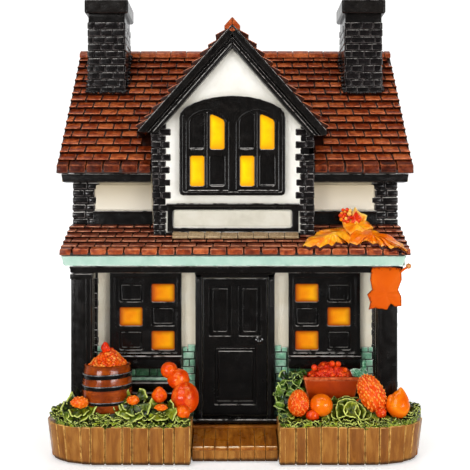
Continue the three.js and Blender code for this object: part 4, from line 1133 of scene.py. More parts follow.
for sx in (-1, 1):
    corner(t, sx * WALL_X, WALL_Y, sx, -1, 84.8, 101.5, 2.83, 9.7, 8.1, 0.55, rnd, lambda k: k in (0, 2, 5))
    # dark bedding between the stones beside the posts
    t.box(min(sx * (WALL_X - 9.2), sx * (WALL_X - 0.2)), max(sx * (WALL_X - 9.2), sx * (WALL_X - 0.2)), WALL_Y - 0.34, WALL_Y + 0.6, 11.2, 84.6, 0.1, 0, 0.1, 0.0)
    corner(t, sx * WALL_X, WALL_Y, sx, -1, 11.0, 84.8, 2.83, 9.3, 9.3, 0.5, rnd, lambda k: k % 3 == 1, deep=8.5)
    corner(t, sx * WALL_X, REAR_Y, sx, 1, 11.0, 101.5, 2.83, 9.7, 8.1, 0.55, rnd, lambda k: k % 3 == 1, deep=9.5)
for sx in (-1, 1):
    for z0, z1, wx, wy in ((84.9, 101.2, 7.9, 7.6), (10.9, 84.9, 8.6, 7.2)):
        x0, x1 = sorted((sx * 62.2, sx * (62.0 - wx)))
        t.box(x0, x1, -28.2, -27.0, z0, z1, 0.05, 0, 0.0, 0.0)
        x0, x1 = sorted((sx * 62.2, sx * 61.0))
        t.box(x0, x1, -28.2, -28.0 + wy, z0, z1, 0.05, 0, 0.0, 0.0)
    x0, x1 = sorted((sx * 62.2, sx * 54.1))
    t.box(x0, x1, 46.0, 47.2, 10.9, 101.2, 0.05, 0, 0.0, 0.0)
    x0, x1 = sorted((sx * 62.2, sx * 61.0))
    t.box(x0, x1, 39.4, 47.2, 10.9, 101.2, 0.05, 0, 0.0, 0.0)
t.build("house_corner_stones", [BRICK], "brick_black")

t = Shape()
# crown moulding under the front and rear eaves, its ends cut back downwards
for x0, x1, e0, e1 in ((-65.6, GX - BAY_X - 0.35, 1.6, 0.0), (GX + BAY_X + 0.35, 65.6, 0.0, 1.6)):
    t.hexa([(x0 + e0 * 0.3, -34.45, 101.2), (x1 - e1 * 0.3, -34.45, 101.2), (x0 + e0 * 0.3, -27.6, 101.2), (x1 - e1 * 0.3, -27.6, 101.2),
            (x0, -34.5, 104.4), (x1, -34.5, 104.4), (x0, -27.6, 104.4), (x1, -27.6, 104.4)], 0.3)
t.box(-65.6, 65.6, 46.2, 53.5, 101.2, 104.4, 0.3)
# sloped boards under the verges of the side walls
for s in (-1, 1):
    for d in (-1, 1):
        y0, y1 = (WALL_Y if d < 0 else REAR_Y), RIDGE_Y
        za, zb = roof_z(y0) - 5.5, roof_z(y1) - 5.5
        poly = [(y0, za - 5.2), (y1, zb - 5.2), (y1, zb), (y0, za)] if d < 0 else [(y1, zb - 5.2), (y0, za - 5.2), (y0, za), (y1, zb)]
        if s > 0:
            t.slab(poly, RIGHT(WALL_X), -0.5, 0.9, 0.3)
            t.slab([(p0, p1 + 3.8) if k < 2 else (p0, p1 - 0.3) for k, (p0, p1) in enumerate(poly)], RIGHT(WALL_X), 0.3, 1.5, 0.25)
        else:
            m = [(-p0, p1) for p0, p1 in reversed(poly)]
            t.slab(m, LEFT(-WALL_X), -0.5, 0.9, 0.3)
            t.slab([(p0, p1 + 3.8) if k >= 2 else (p0, p1 - 0.3) for k, (p0, p1) in enumerate(m)][::1], LEFT(-WALL_X), 0.3, 1.5, 0.25)
# black base band over the porch roof
for x0, x1 in ((-54.5, GX - BAY_X - 0.4), (GX + BAY_X + 0.4, 54.5)):
    t.box(x0, x1, -28.9, -27.6, 85.0, 90.2, 0.25)
    t.box(x0, x1, -29.4, -28.2, 89.5, 90.5, 0.25)
# band carried round the sides and the rear at the same height
for s in (-1, 1):
    x0, x1 = sorted((s * 61.6, s * 62.9))
    t.box(x0, x1, -19.2, 38.0, 85.6, 90.2, 0.25)
    x0, x1 = sorted((s * 61.8, s * 63.3))
    t.box(x0, x1, -19.0, 37.8, 89.5, 90.5, 0.25)
t.box(-53.0, 53.0, 46.6, 47.9, 85.6, 90.2, 0.25)
t.box(-52.8, 52.8, 46.8, 48.3, 89.5, 90.5, 0.25)
t.build("house_mouldings", [BLACK], "enamel_black")

# plinth bricks, green, at the foot of all four walls
t = Shape()
rnd = random.Random(53)


def plinth(place, u0, u1, z0, z1, mat, skip=(), top_fade=True, depth=0.0):
    rows_ = round((z1 - z0) / 2.9)
    dz_ = (z1 - z0) / rows_
    for i in range(rows_):
        u = u0 - (2.6 if i % 2 else 0.0)
        while u < u1:
            w = 5.3 * rnd.uniform(0.85, 1.15) if False else rnd.choice((2.6, 3.0, 4.6, 5.2))
            a, c = max(u0, u + 0.16), min(u1, u + w - 0.16)
            u += w
            if c - a < 0.9:
                continue
            mid = (a + c) / 2
            if any(s0 < mid < s1 and t0 < z0 + (i + 0.5) * dz_ < t1 for s0, s1, t0, t1 in skip):
                continue
            j = [rnd.uniform(-0.1, 0.1) for _ in range(4)]
            if i == rows_ - 1:
                j[2] = j[3] = rnd.uniform(-1.0, 0.3)
            poly = [(a, z0 + i * dz_ + 0.16 + j[0]), (c, z0 + i * dz_ + 0.16 + j[1]), (c, z0 + (i + 1) * dz_ - 0.16 + j[2]), (a, z0 + (i + 1) * dz_ - 0.16 + j[3])]
            t.slab(poly, place, -0.4, 0.62 + rnd.uniform(-0.1, 0.12), 0.28, mat, rnd.random())


plinth(FRONT(WALL_Y), -53.0, -48.2, 11.0, 39.0, 0)
plinth(FRONT(WALL_Y), -20.2, -15.3, 11.0, 39.0, 0)
plinth(FRONT(WALL_Y), 15.3, 20.2, 11.0, 39.0, 0)
plinth(FRONT(WALL_Y), 48.2, 53.0, 11.0, 39.0, 0)
for s_ in (-1, 1):
    a_, b_ = sorted((s_ * 48.0, s_ * 20.4))
    plinth(FRONT(WALL_Y), a_, b_, 26.9, 30.6, 1)
    t.box(a_, b_, -29.9, -27.9, 25.3, 26.6, 0.45, 0, 0.8)
    t.box(a_, b_, -30.6, -27.9, 21.6, 25.0, 0.6, 3, 0.5)
    t.box(a_, b_, -31.4, -27.9, 11.0, 21.3, 0.6, 3, 0.5)
plinth(RIGHT(WALL_X), -19.0, 37.0, 11.0, 39.0, 0)
plinth(LEFT(-WALL_X), -37.0, 19.0, 11.0, 39.0, 0)
plinth(BACK(REAR_Y), -52.5, 52.5, 11.0, 39.0, 0)
for x0, x1, z1 in ((-53.2, -48.1, 37.4), (-20.3, -15.2, 37.4), (15.2, 20.3, 37.4), (48.1, 53.2, 37.4), (-48.2, -20.2, 30.0), (20.2, 48.2, 30.0)):
    t.box(x0, x1, -28.3, -27.7, 10.9, z1, 0.05, 2)
for s in (-1, 1):
    x0, x1 = sorted((s * 61.7, s * 62.3))
    t.box(x0, x1, -19.2, 37.2, 10.9, 37.4, 0.05, 2)
t.box(-52.6, 52.6, 46.7, 47.3, 10.9, 37.4, 0.05, 2)
t.build("house_plinth_bricks", [GREEN_BRICK, GREEN_SHADED, MORTAR, BLACK], "fascia_mint")

# raised plaster panels
t = Shape()
for x0, x1 in ((-53.6, GX - BAY_X - 0.6), (GX + BAY_X + 0.6, 53.6)):
    t.plate(rrect(x0, x1, 90.8, 100.6, 0.7, 2), [], FRONT(WALL_Y), -0.3, 0.55, 0.25, 2)
t.plate(rrect(-22.9, 21.0, 84.5, 90.4, 0.8, 2), [], FRONT(BAY_Y), -0.3, 0.35, 0.2, 2, 1)
t.build("wall_panels", [CREAM, PANEL_SHADED], "stucco_white")

# ------------------------------------------------------------------ gable bay trim
t = Shape()
rnd = random.Random(61)
for sx in (-1, 1):
    X = GX + sx * BAY_X
    n = 18
    z_lo, z_hi = 80.8, 123.2
    dz_ = (z_hi - z_lo) / n
    for i in range(n):
        a, b = z_lo + i * dz_, z_lo + (i + 1) * dz_
        tooth = i % 2 == 0 and i > 2
        w = ((7.1 if sx < 0 else 6.5) if tooth else 5.6 if sx < 0 else 5.1) + rnd.uniform(-0.25, 0.25)
        p = 0.35 + rnd.uniform(-0.12, 0.15)
        j = lambda: rnd.uniform(-0.12, 0.12)
        split = w * rnd.uniform(0.4, 0.6)
        pull = (1.3 * (1 - i / n)) if sx < 0 else 0.0
        segs = [(X + sx * (p - pull), X - sx * (split + 0.1)), (X - sx * (split + 0.12), X - sx * w)]
        grow_ = 0.16 if tooth else -0.04
        for q in segs:
            q0, q1 = sorted(q)
            t.box(q0, q1, BAY_Y - p + j(), BAY_Y + 1.2, a + 0.04 - grow_, b - 0.04 + grow_ + j() * 0.4, 0.32, 0, rnd.random(), 1.0, 0.05, rnd)
        d = 4.0 if i % 2 else 5.2
        x0, x1 = sorted((X + sx * (p - pull + j() * 0.6), X - sx * 2.2))
        t.box(x0, x1, BAY_Y + 1.0, BAY_Y + d, a + 0.08, b - 0.08, 0.38, 0, rnd.random(), 1.0, 0.05, rnd)
for sx in (-1, 1):
    X = GX + sx * BAY_X
    pl = 1.25 if sx < 0 else 0.0
    for y0, y1, wd in ((-37.2, -36.2, 5.2 if sx < 0 else 4.6), (-37.2, -32.6, 1.6)):
        lo = sorted((X + sx * (0.15 - pl), X - sx * wd))
        hi = sorted((X + sx * 0.15, X - sx * wd))
        t.hexa([(lo[0], y0, 80.6), (lo[1], y0, 80.6), (lo[0], y1, 80.6), (lo[1], y1, 80.6), (hi[0], y0, 122.6), (hi[1], y0, 122.6), (hi[0], y1, 122.6), (hi[1], y1, 122.6)], 0.05, 0, 0.0, 0.0)
t.build("bay_corner_stones", [BRICK], "brick_black")
t = Shape()
t.cad("gable_bay", lambda p: Vector((p.x + 1.3 * max(0.0, min(1.0, (124.0 - p.z) / 43.0)), p.y, p.z)) if p.x < GX - BAY_X + 0.1 else p)
t.build("gable_bay_casting", [WHITE], "stucco_white", ["gable_bay"], angle=30)

t = Shape()
xl, xr = ax(167.5, -37.6), ax(298.6, -37.6)
zt, zb = az(203.6, -37.6), az(233.6, -37.6)
hl, hr, ht, hb = ax(173.1, -37.6), ax(292.1, -37.6), az(209.8, -37.6), az(227.7, -37.6)
t.plate([(xl, zb), (xr, zb), (xr, zt), (xl, zt)], [rrect(hl, hr, hb, ht, 0.8, 2)], FRONT(BAY_Y), -0.3, 0.9, 0.3, 2)
t.box(xl - 0.3, xr + 0.3, BAY_Y - 1.7, BAY_Y - 0.5, zt - 1.2, zt + 0.15, 0.35)
t.box(xl, xr, BAY_Y - 1.3, BAY_Y - 0.5, zb - 0.3, zb + 0.7, 0.3)
t.build("bay_foot_band", [BLACK], "enamel_black")

t = Shape()
rnd = random.Random(63)
u = ax(172.5, -38)
while u < ax(297.5, -38) - 1:
    w = 5.9 * rnd.uniform(0.94, 1.06)
    c = min(ax(298.5, -38), u + w)
    cs = []
    for (v, n_) in ((8.2, -0.3), (12.4, -0.3), (8.2, 0.75), (12.4, 1.0)):
        for x in (u + 0.07, c - 0.07):
            cs.append(PORCH_SLOPE_PLANE(x, v + rnd.uniform(-0.1, 0.1), n_ + rnd.uniform(-0.1, 0.1)))
    t.hexa(cs, 0.25, 0, rnd.random())
    u = c
t.build("bay_foot_bricks", [TAN], "stucco_white")

# ------------------------------------------------------------------ gable window
YG = -39.6
q = lambda x, y: (ax(x, YG), az(y, YG))
outer = [q(*p) for p in ((183.0, 195.4), (281.6, 195.4), (284.4, 194.2), (285.5, 191.4), (285.5, 118.0), (284.3, 112.6), (280.2, 107.6), (270.5, 102.4),
                         (261.0, 99.2), (252.0, 97.2), (242.0, 95.9), (232.4, 95.4), (222.8, 95.9), (212.8, 97.2), (203.8, 99.2), (194.3, 102.4), (184.6, 107.6),
                         (180.4, 112.6), (179.3, 118.0), (179.3, 191.4), (180.3, 194.2))]
gw = Shape()
holes, dark_backs, lit_panes = [], [], []
for dx in (0.0, 50.1):
    ul = [(189.7, 147.6), (191.2, 149.1), (202.2, 149.1), (203.7, 147.6), (203.7, 114.8), (202.5, 113.7), (196.8, 115.3), (191.5, 118.6), (189.7, 122.0)]
    ur = [(210.0, 147.6), (211.4, 149.1), (223.0, 149.1), (224.4, 147.6), (224.4, 122.2), (223.2, 119.4), (217.6, 116.4), (212.0, 114.2), (210.6, 114.6), (210.0, 116.0)]
    ll = [(190.0, 184.6), (191.4, 186.0), (202.8, 186.0), (204.2, 184.6), (204.2, 157.0), (202.8, 155.6), (191.4, 155.6), (190.0, 157.0)]
    lr = [(x + 20.2, y) for x, y in ll]
    for loop, is_lit in ((ul, False), (ur, True), (ll, True), (lr, False)):
        pts = [q(x + dx, y) for x, y in loop]
        holes.append(pts)
        (lit_panes if is_lit else dark_backs).append(pts)
gw.plate(outer, holes, FRONT(0), 37.3, 39.3, 0.32, 3)
# raised rim round the whole surround, and a bead over each sash
ring = inset([(a, b) for a, b in outer], 1.35)
gw.plate(outer, [ring], FRONT(0), 38.9, 39.75, 0.3, 3)
for dx in (0.0, 50.1):
    arc = [(187.8, 121.0), (189.4, 117.8), (193.4, 114.2), (199.0, 111.4), (204.0, 110.0), (207.2, 109.8), (210.6, 110.2), (215.8, 111.8), (221.6, 115.0), (225.4, 118.8), (226.6, 121.6)]
    gw.tube([(q(x + dx, y)[0], -39.35, q(x + dx, y)[1]) for x, y in arc], 0.26, 0, 0.5, 8)
    for x in (186.0, 228.6):
        gw.tube([(q(x + dx, y)[0], -39.3, q(x + dx, y)[1]) for y in (121.5, 150.0, 189.5)], 0.24, 0, 0.5, 8)
    a, b = q(187.6 + dx, 192.2), q(228.6 + dx, 190.0)
    gw.box(a[0], b[0], -39.95, -38.9, a[1], b[1], 0.25)
    # glazing bar between the columns, and a ledge at the foot of each blind pane
    a, b = q(206.3 + dx, 187.5), q(207.6 + dx, 112.0)
    gw.box(a[0], b[0], -39.55, -39.0, a[1], b[1], 0.15)
for pts in dark_backs:
    xs, zs = [p[0] for p in pts], [p[1] for p in pts]
    gw.box(min(xs) - 0.4, max(xs) + 0.4, -38.5, -37.4, min(zs) - 0.4, max(zs) + 0.4, 0.1, 0, 0.2)
    gw.hexa([(min(xs) + 0.2, -39.1, min(zs) - 0.3), (max(xs) - 0.2, -39.1, min(zs) - 0.3), (min(xs) + 0.2, -38.3, min(zs) - 0.3), (max(xs) - 0.2, -38.3, min(zs) - 0.3),
             (min(xs) + 0.2, -38.95, min(zs) + 0.45), (max(xs) - 0.2, -38.95, min(zs) + 0.45), (min(xs) + 0.2, -38.3, min(zs) + 0.95), (max(xs) - 0.2, -38.3, min(zs) + 0.95)], 0.14)
gw.build("gable_window_surround", [BLACK], "enamel_black", ["window_frame_gable"])


def lit_sheet(name, node, sheet, panes, y_front, y_back, mat, grow=0.25):
    """Translucent sheet behind the wall, with a raised pane in each lit opening; the sheet glows by emission in its own
    paint.
    """
    s = Shape()
    x0, x1, y0, y1, z0, z1 = sheet
    s.box(x0, x1, y0, y1, z0, z1, 0.2, 0, 0.5)
    for pts in panes:
        cu = sum(p[0] for p in pts) / len(pts)
        cv = sum(p[1] for p in pts) / len(pts)
        big = [(cu + (a - cu) * (1 + grow * 0.1), cv + (b - cv) * (1 + grow * 0.05)) for a, b in pts]
        xs = [p[0] for p in pts]
        # subdivide the outline for a smooth crown
        fine = []
        for i in range(len(big)):
            a, b = big[i - 1], big[i]
            m = max(1, int(math.hypot(a[0] - b[0], a[1] - b[1]) / 0.9))
            fine += [(a[0] + (b[0] - a[0]) * k / m, a[1] + (b[1] - a[1]) * k / m) for k in range(m)]
        if area(fine) < 0:
            fine.reverse()
        k0 = len(s.f)
        s.sheet(fine, (cu, cv), FRONT(0), 6, lambda k, u, v: -y_front + 0.35 * (1 - k * k), -y_front + y_back + 0.0, 0, 0.5)
        # tint runs across each pane
        w = max(xs) - min(xs)
        for i in range(k0, len(s.f)):
            s.t[i] = min(1.0, max(0.0, (sum(s.v[j][0] for j in s.f[i]) / len(s.f[i]) - min(xs)) / w))
    s.build(name, [mat], "pane_amber", [node], angle=60)


lit_sheet("gable_window_panes", "window_pane_gable", (GX - 18.2, GX + 18.2, -34.1, -33.1, 97.2, 130.4), lit_panes, -38.5, -33.6, LIT_HIGH)

# ------------------------------------------------------------------ lower windows
for s, side in ((-1, "left"), (1, "right")):
    cx = s * WIN_X
    lit_cells = [(1, 0), (0, 1), (1, 2)] if s < 0 else [(0, 0), (1, 1), (0, 2)]
    w = Shape()
    holes, glow = [], []
    for c in range(2):
        for r in range(3):
            a, b = PANE_COLS[c] if s < 0 else (-PANE_COLS[1 - c][1], -PANE_COLS[1 - c][0])
            z0, z1 = PANE_ROWS[r]
            loop = rrect(cx + a, cx + b, z0, z1, 0.55, 2)
            holes.append(loop)
            if (c, r) in lit_cells:
                glow.append(rrect(cx + a - 0.1, cx + b + 0.1, z0 - 0.1, z1 + 0.1, 0.9, 3))
            else:
                w.box(cx + a - 0.4, cx + b + 0.4, -29.4, -28.4, z0 - 0.4, z1 + 0.4, 0.1, 0, 0.2)
                w.plate(rrect(cx + a + 0.5, cx + b - 0.5, z0 + 0.5, z1 - 0.5, 0.4, 2), [rrect(cx + a + 0.95, cx + b - 0.95, z0 + 0.95, z1 - 0.95, 0.3, 2)], FRONT(0), 29.2, 29.75, 0.14, 2)
    half = 13.65
    w.plate([(cx - half + 0.8, 35.2), (cx + half - 0.8, 35.2), (cx + half - 0.8, 66.3), (cx - half + 0.8, 66.3)], holes, FRONT(0), 28.35, 30.6, 0.3, 3)
    w.plate([(cx - half, 34.9), (cx + half, 34.9), (cx + half, 66.9), (cx - half, 66.9)], [rrect(cx - half + 1.75, cx + half - 1.75, 36.2, 65.0, 0.3, 2)], FRONT(0), 28.4, 31.2, 0.3, 3)
    w.plate([(cx - half + 1.5, 35.9), (cx + half - 1.5, 35.9), (cx + half - 1.5, 65.3), (cx - half + 1.5, 65.3)],
            [rrect(cx - half + 2.1, cx + half - 2.1, 36.5, 64.7, 0.3, 2)], FRONT(0), 28.4, 30.85, 0.2, 2)
    # sill with a lip
    w.box(cx - half, cx + half, -32.2, -28.3, 30.3, 34.4, 0.4)
    w.box(cx - half - 0.3, cx + half + 0.3, -33.1, -28.3, 34.0, 35.5, 0.42)
    w.build("window_frame_" + side + "_sashes", [BLACK], "enamel_black", ["window_frame_" + side])
    lit_sheet("window_panes_" + side, "window_pane_" + side, (cx - 11.3, cx + 11.3, -27.7, -26.6, 36.6, 63.2), glow, -30.0, -27.2, LIT_LOW)

# ------------------------------------------------------------------ door
d = Shape()
for x0, x1 in ((-15.1, -12.5), (12.5, 15.1)):
    d.box(x0, x1, -31.8, -28.3, 12.0, 67.1, 0.35)
    xm = (x0 + x1) / 2
    d.box(xm - 0.5, xm + 0.5, -32.15, -31.5, 13.0, 64.2, 0.2)
d.box(-15.1, 15.1, -31.8, -28.3, 64.9, 67.1, 0.3)
d.box(-15.3, 15.3, -32.2, -28.3, 66.0, 67.1, 0.25)
d.box(-16.4, 16.4, -36.4, -28.4, 10.7, 12.2, 0.35)
d.build("door_frame_jambs", [BLACK], "enamel_black", ["door_frame"])

d = Shape()
ups = [rrect(-9.8, -1.6, 42.6, 61.7, 0.3, 2), rrect(1.6, 9.8, 42.6, 61.7, 0.3, 2)]
low = rrect(-7.8, 8.2, 16.4, 38.6, 0.3, 2)
d.plate([(-12.2, 12.5), (12.2, 12.5), (12.2, 64.6), (-12.2, 64.6)], ups + [low], FRONT(0), 28.3, 30.6, 0.28, 3)
d.box(-11.8, 11.8, -29.3, -28.4, 13.0, 64.2, 0.1)
for a, b in ((-9.8, -1.6), (1.6, 9.8)):
    d.plate(rrect(a + 1.1, b - 1.1, 43.7, 60.6, 0.3, 2), [rrect(a + 1.7, b - 1.7, 44.3, 60.0, 0.3, 2)], FRONT(0), 29.0, 29.8, 0.18, 2)
d.plate(rrect(-6.4, 6.8, 18.2, 36.8, 0.4, 2), [], FRONT(0), 29.0, 30.1, 0.35, 3)
d.plate(rrect(-7.2, 7.6, 17.2, 37.8, 0.3, 2), [rrect(-6.8, 7.2, 17.6, 37.4, 0.3, 2)], FRONT(0), 29.0, 29.7, 0.12, 2)
d.build("door_leaf_panels", [BLACK], "enamel_black", ["door_leaf"])

d = Shape()
d.turned([(0, 0), (2.0, 0), (2.0, 0.35), (1.5, 0.6), (0.75, 0.8), (0.7, 1.3), (1.2, 1.7), (1.45, 2.3), (1.3, 2.9), (0.8, 3.25), (0, 3.35)], (0, 0), 0, 0.5, 24)
d.v = [(x * 0.78 + 9.2, -30.55 - z * 0.82, y * 0.78 + 40.9) for x, y, z in d.v]
d.build("door_knob_turned", [moulded("knob_dark", (0.004, 0.0035, 0.003, 1), (0.012, 0.01, 0.009, 1), rough=(0.08, 0.16), grain=0.5, grain_scale=1.2, coat=0.8)], "enamel_black", ["door_knob"])

# ------------------------------------------------------------------ base with its upright planks
NOTCH_X, NOTCH_BACK, BASE_FRONT, BASE_REAR, BASE_HALF, BASE_SIDE = 15.6, -37.5, -55.0, 55.0, 69.5, 66.5


def outline(inset_, fine=24):
    right = [(NOTCH_X + inset_, NOTCH_BACK), (NOTCH_X + inset_, BASE_FRONT + inset_)]
    cx, cy = 50.5, -38.0
    rx, ry = BASE_HALF - inset_ - cx, cy - BASE_FRONT - inset_
    for i in range(fine + 1):
        a = i / fine * math.pi / 2
        right.append((cx + rx * math.sin(a), cy - ry * math.cos(a)))
    right += [(68.6 - inset_, -31.0), (BASE_SIDE - inset_, -25.0)]
    for i in range(9):
        a = i / 8 * math.pi / 2
        right.append((BASE_SIDE - 5 + (5 - inset_) * math.cos(a), BASE_REAR - 5 + (5 - inset_) * math.sin(a)))
    return right


def walk(path, pitch):
    """Evenly spaced stations on a polyline, as (point, tangent)."""
    lens = [0.0]
    for i in range(1, len(path)):
        lens.append(lens[-1] + math.hypot(path[i][0] - path[i - 1][0], path[i][1] - path[i - 1][1]))
    n = max(1, round(lens[-1] / pitch))
    out = []
    for k in range(n + 1):
        s = lens[-1] * (k + (0.0 if k in (0, n) else 0.17 * math.sin(k * 2.3 + lens[-1]))) / n
        i = max(1, next((j for j in range(1, len(lens)) if lens[j] >= s - 1e-9), len(lens) - 1))
        f_ = (s - lens[i - 1]) / max(1e-9, lens[i] - lens[i - 1])
        out.append((path[i - 1][0] + (path[i][0] - path[i - 1][0]) * f_, path[i - 1][1] + (path[i][1] - path[i - 1][1]) * f_))
    return out


base = Shape()
OUT = outline(0.0, 8)
LOOP = OUT + [(-x, y) for x, y in reversed(OUT)]


def pull_in(p):
    """Moves the casting's outer skin inwards, behind the planks."""
    best, hit = 1e9, None
    for i in range(len(LOOP)):
        a, b = LOOP[i - 1], LOOP[i]
        dx, dy = b[0] - a[0], b[1] - a[1]
        L = dx * dx + dy * dy
        if L < 1e-9:
            continue
        k = max(0.0, min(1.0, ((p.x - a[0]) * dx + (p.y - a[1]) * dy) / L))
        ex, ey = p.x - a[0] - dx * k, p.y - a[1] - dy * k
        dd = math.hypot(ex, ey)
        if dd < best:
            best, hit = dd, (dx, dy, math.sqrt(L))
    z = p.z - (0.7 if p.z > 13.5 else (0.3 if 10.2 < p.z < 10.6 and best < 3.0 else 0.0))
    if best < 0.06:
        c = Vector((0.0, -10.0))
        d_ = Vector((p.x, p.y)) - Vector((math.copysign(42.0, p.x), -44.0 if p.y < -26 else p.y * 0.8))
        if p.y < -26:
            x = p.x - math.copysign(1.7, p.x) if abs(p.x) > 50 else (p.x + math.copysign(1.2, p.x) if abs(p.x) < 16 and p.y < -37.4 else p.x)
            y = p.y + 1.7 if p.y < -45 else p.y
            return Vector((x, y, z))
        x = p.x - math.copysign(1.5, p.x) if abs(p.x) > 60 else p.x
        y = p.y - 1.5 if p.y > 50 else p.y
        return Vector((x, y, z))
    return Vector((p.x, p.y, z))


base.cad("base_casting", pull_in, 1)
rnd = random.Random(71)
for s in (-1, 1):
    right = outline(0.0)
    # front and planter sides up to the rim, then lower planks round the house
    k = next(i for i, p in enumerate(right) if p == (68.6, -31.0))
    high = right[1:k + 1] + [(67.2, -27.0)]
    low_ = [(67.2, -27.0)] + right[k + 1:] + [(0.0, BASE_REAR)]
    inner_side = [(NOTCH_X, NOTCH_BACK), (NOTCH_X, BASE_FRONT)]
    for path, top, taper, width in ((inner_side, 14.0, 0.0, 2.4), (high, 14.0, 1.7, 2.5), (low_, 10.4, 1.4, 4.6)):
        st = walk(path, 4.9)
        for i in range(len(st) - 1):
            (x0, y0), (x1, y1) = st[i], st[i + 1]
            dx, dy = x1 - x0, y1 - y0
            L = math.hypot(dx, dy)
            dx, dy = dx / L, dy / L
            nx, ny = dy, -dx                      # outwards, to the right of the walk
            g_ = 0.05
            ja, jb = rnd.uniform(-0.15, 0.12), rnd.uniform(-0.15, 0.12)
            jt, ju = rnd.uniform(-0.25, 0.15), rnd.uniform(-0.2, 0.2)
            x0_, y0_, x1_, y1_ = x0 + dx * g_, y0 + dy * g_, x1 - dx * g_, y1 - dy * g_
            lean = taper * min(1.0, max(0.1, ((x0 + x1) / 2 - 46.0) / 16.0)) if path is high else taper
            cs = []
            for z, out in ((0.45, -lean), (top + jt, 0.0)):
                for off in (out, -width):
                    for (px_, py_, jj) in ((x0_, y0_, ja), (x1_, y1_, jb)):
                        o = off + (jj if off == out else 0.0)
                        cs.append((s * (px_ + nx * o), py_ + ny * o, z))
            base.hexa(cs, 0.42, 0, rnd.random())
base.build("base_planks", [WOOD, WOOD_TOP], "wood_brown", ["base_casting"])

# step: planks running front to back, the tread rising towards the threshold
st = Shape()
rnd = random.Random(73)
cuts = [-15.3] + [ax(x, -50.5) for x in (205.0, 216.0, 228.0, 240.0, 254.0, 264.0)] + [15.3]
cuts = [-15.3, -11.3, -7.2, -2.6, 1.9, 7.1, 10.9, 15.3]
for a, c in zip(cuts[:-1], cuts[1:]):
    j1, j2 = rnd.uniform(-0.1, 0.1), rnd.uniform(-0.12, 0.12)
    st.hexa([(a + 0.03, -50.0 + j1, 0.45), (c - 0.03, -50.0 + j1, 0.45), (a + 0.03, -44, 0.45), (c - 0.03, -44, 0.45),
             (a + 0.03, -50.3 + j1, 5.2 + j2 * 0.4), (c - 0.03, -50.3 + j1, 5.2 + j2 * 0.4), (a + 0.03, -44, 5.2), (c - 0.03, -44, 5.2)], 0.16, 0, 0.8 + 0.2 * rnd.random(), 0.3)
    st.hexa([(a + 0.03, -50.5 + j2, 4.4), (c - 0.03, -50.5 + j2, 4.4), (a + 0.03, -37.8, 5.2), (c - 0.03, -37.8, 5.2),
             (a + 0.03, -50.55 + j2, 5.8 + j1), (c - 0.03, -50.55 + j2, 5.8 + j1), (a + 0.03, -37.8, 9.25 + j1), (c - 0.03, -37.8, 9.25 + j1)], 0.17, 1, rnd.random(), 0.12)
    # nose of the tread; the tread paint puts a painted highlight on its upper edges
    st.hexa([(a + 0.25, -50.62 + j2, 5.2 + j1), (c - 0.25, -50.62 + j2, 5.2 + j1), (a + 0.25, -49.9 + j2, 5.2 + j1), (c - 0.25, -49.9 + j2, 5.2 + j1),
             (a + 0.25, -50.62 + j2, 5.9 + j1), (c - 0.25, -50.62 + j2, 5.9 + j1), (a + 0.25, -49.9 + j2, 6.02 + j1), (c - 0.25, -49.9 + j2, 6.02 + j1)], 0.22, 1, 0.8, 1.0)
st.box(-15.55, 15.55, -49.0, -37.9, 0.6, 5.0, 0.2, 1, 0.1)
st.build("front_step_planks", [WOOD, WOOD_TOP], "wood_brown", ["front_step"])

# ------------------------------------------------------------------ gardens
def leaf(S, root, heading, length, width, rise, droop, ruffle, rnd, mat=0, waves=2.5, lean=0.0, n=11, m=4, tip=0.8, cup=0.25, teeth=0.12):
    """One ruffled leaf: a thin sheet that leaves the root, rises and falls outwards."""
    ph, ph2, ph3 = rnd.uniform(0, 6.28), rnd.uniform(0, 6.28), rnd.uniform(0, 6.28)
    c, s_ = math.cos(heading), math.sin(heading)
    tint = rnd.random()
    pts, rim, faces = [], [], []
    for i in range(n + 1):
        s = i / n
        w = width * (math.sin(math.pi * min(1.0, 0.1 + 0.9 * s) ** 0.8) ** 0.6 if s < 0.999 else tip * 0.25)
        w = max(w, 0.25 * width * (1 - s) + 0.06)
        along = length * s * (1 - 0.15 * s)
        up = rise * math.sin(min(1.0, s * 1.25) * math.pi * 0.5) - droop * s * s
        for j in range(-m, m + 1):
            t_ = j / m
            tooth = 1 + teeth * abs(t_) * math.sin(23.0 * s + (ph3 if t_ > 0 else ph))
            off = w * t_ * tooth
            edge_ = abs(t_) ** 1.6 * (0.35 + 0.65 * s)
            tip_ = max(edge_, max(0.0, (s - 0.72) / 0.28) ** 1.5 * 0.95)
            wav = ruffle * tip_ * math.sin(waves * 6.28 * s * (1.0 if t_ > 0 else 1.13) + (ph if t_ > 0 else ph2)) * (1 if j else 0.4)
            wav2 = ruffle * 0.6 * tip_ * math.cos(waves * 9.0 * s + ph2 + t_ * 2)
            a = along + wav2
            # a midrib and side veins
            vein = -0.12 * math.exp(-(t_ * 5) ** 2) * length * 0.12 + 0.05 * width * math.sin(16.0 * (s - 0.45 * abs(t_)))
            z = up + cup * abs(off) * (0.6 + 0.4 * s) + wav + lean * off + vein
            x = root[0] + c * a - s_ * off
            y = root[1] + s_ * a + c * off
            pts.append((x, y, root[2] + z))
            rim.append(min(1.0, max(abs(t_) ** 2.6, max(0.0, (s - 0.75) / 0.25) ** 1.4)))
    k = 2 * m + 1
    for i in range(n):
        for j in range(2 * m):
            a = i * k + j
            faces.append([a, a + 1, a + k + 1, a + k])
    S.put(pts, faces, mat, tint, 0.0, rim)


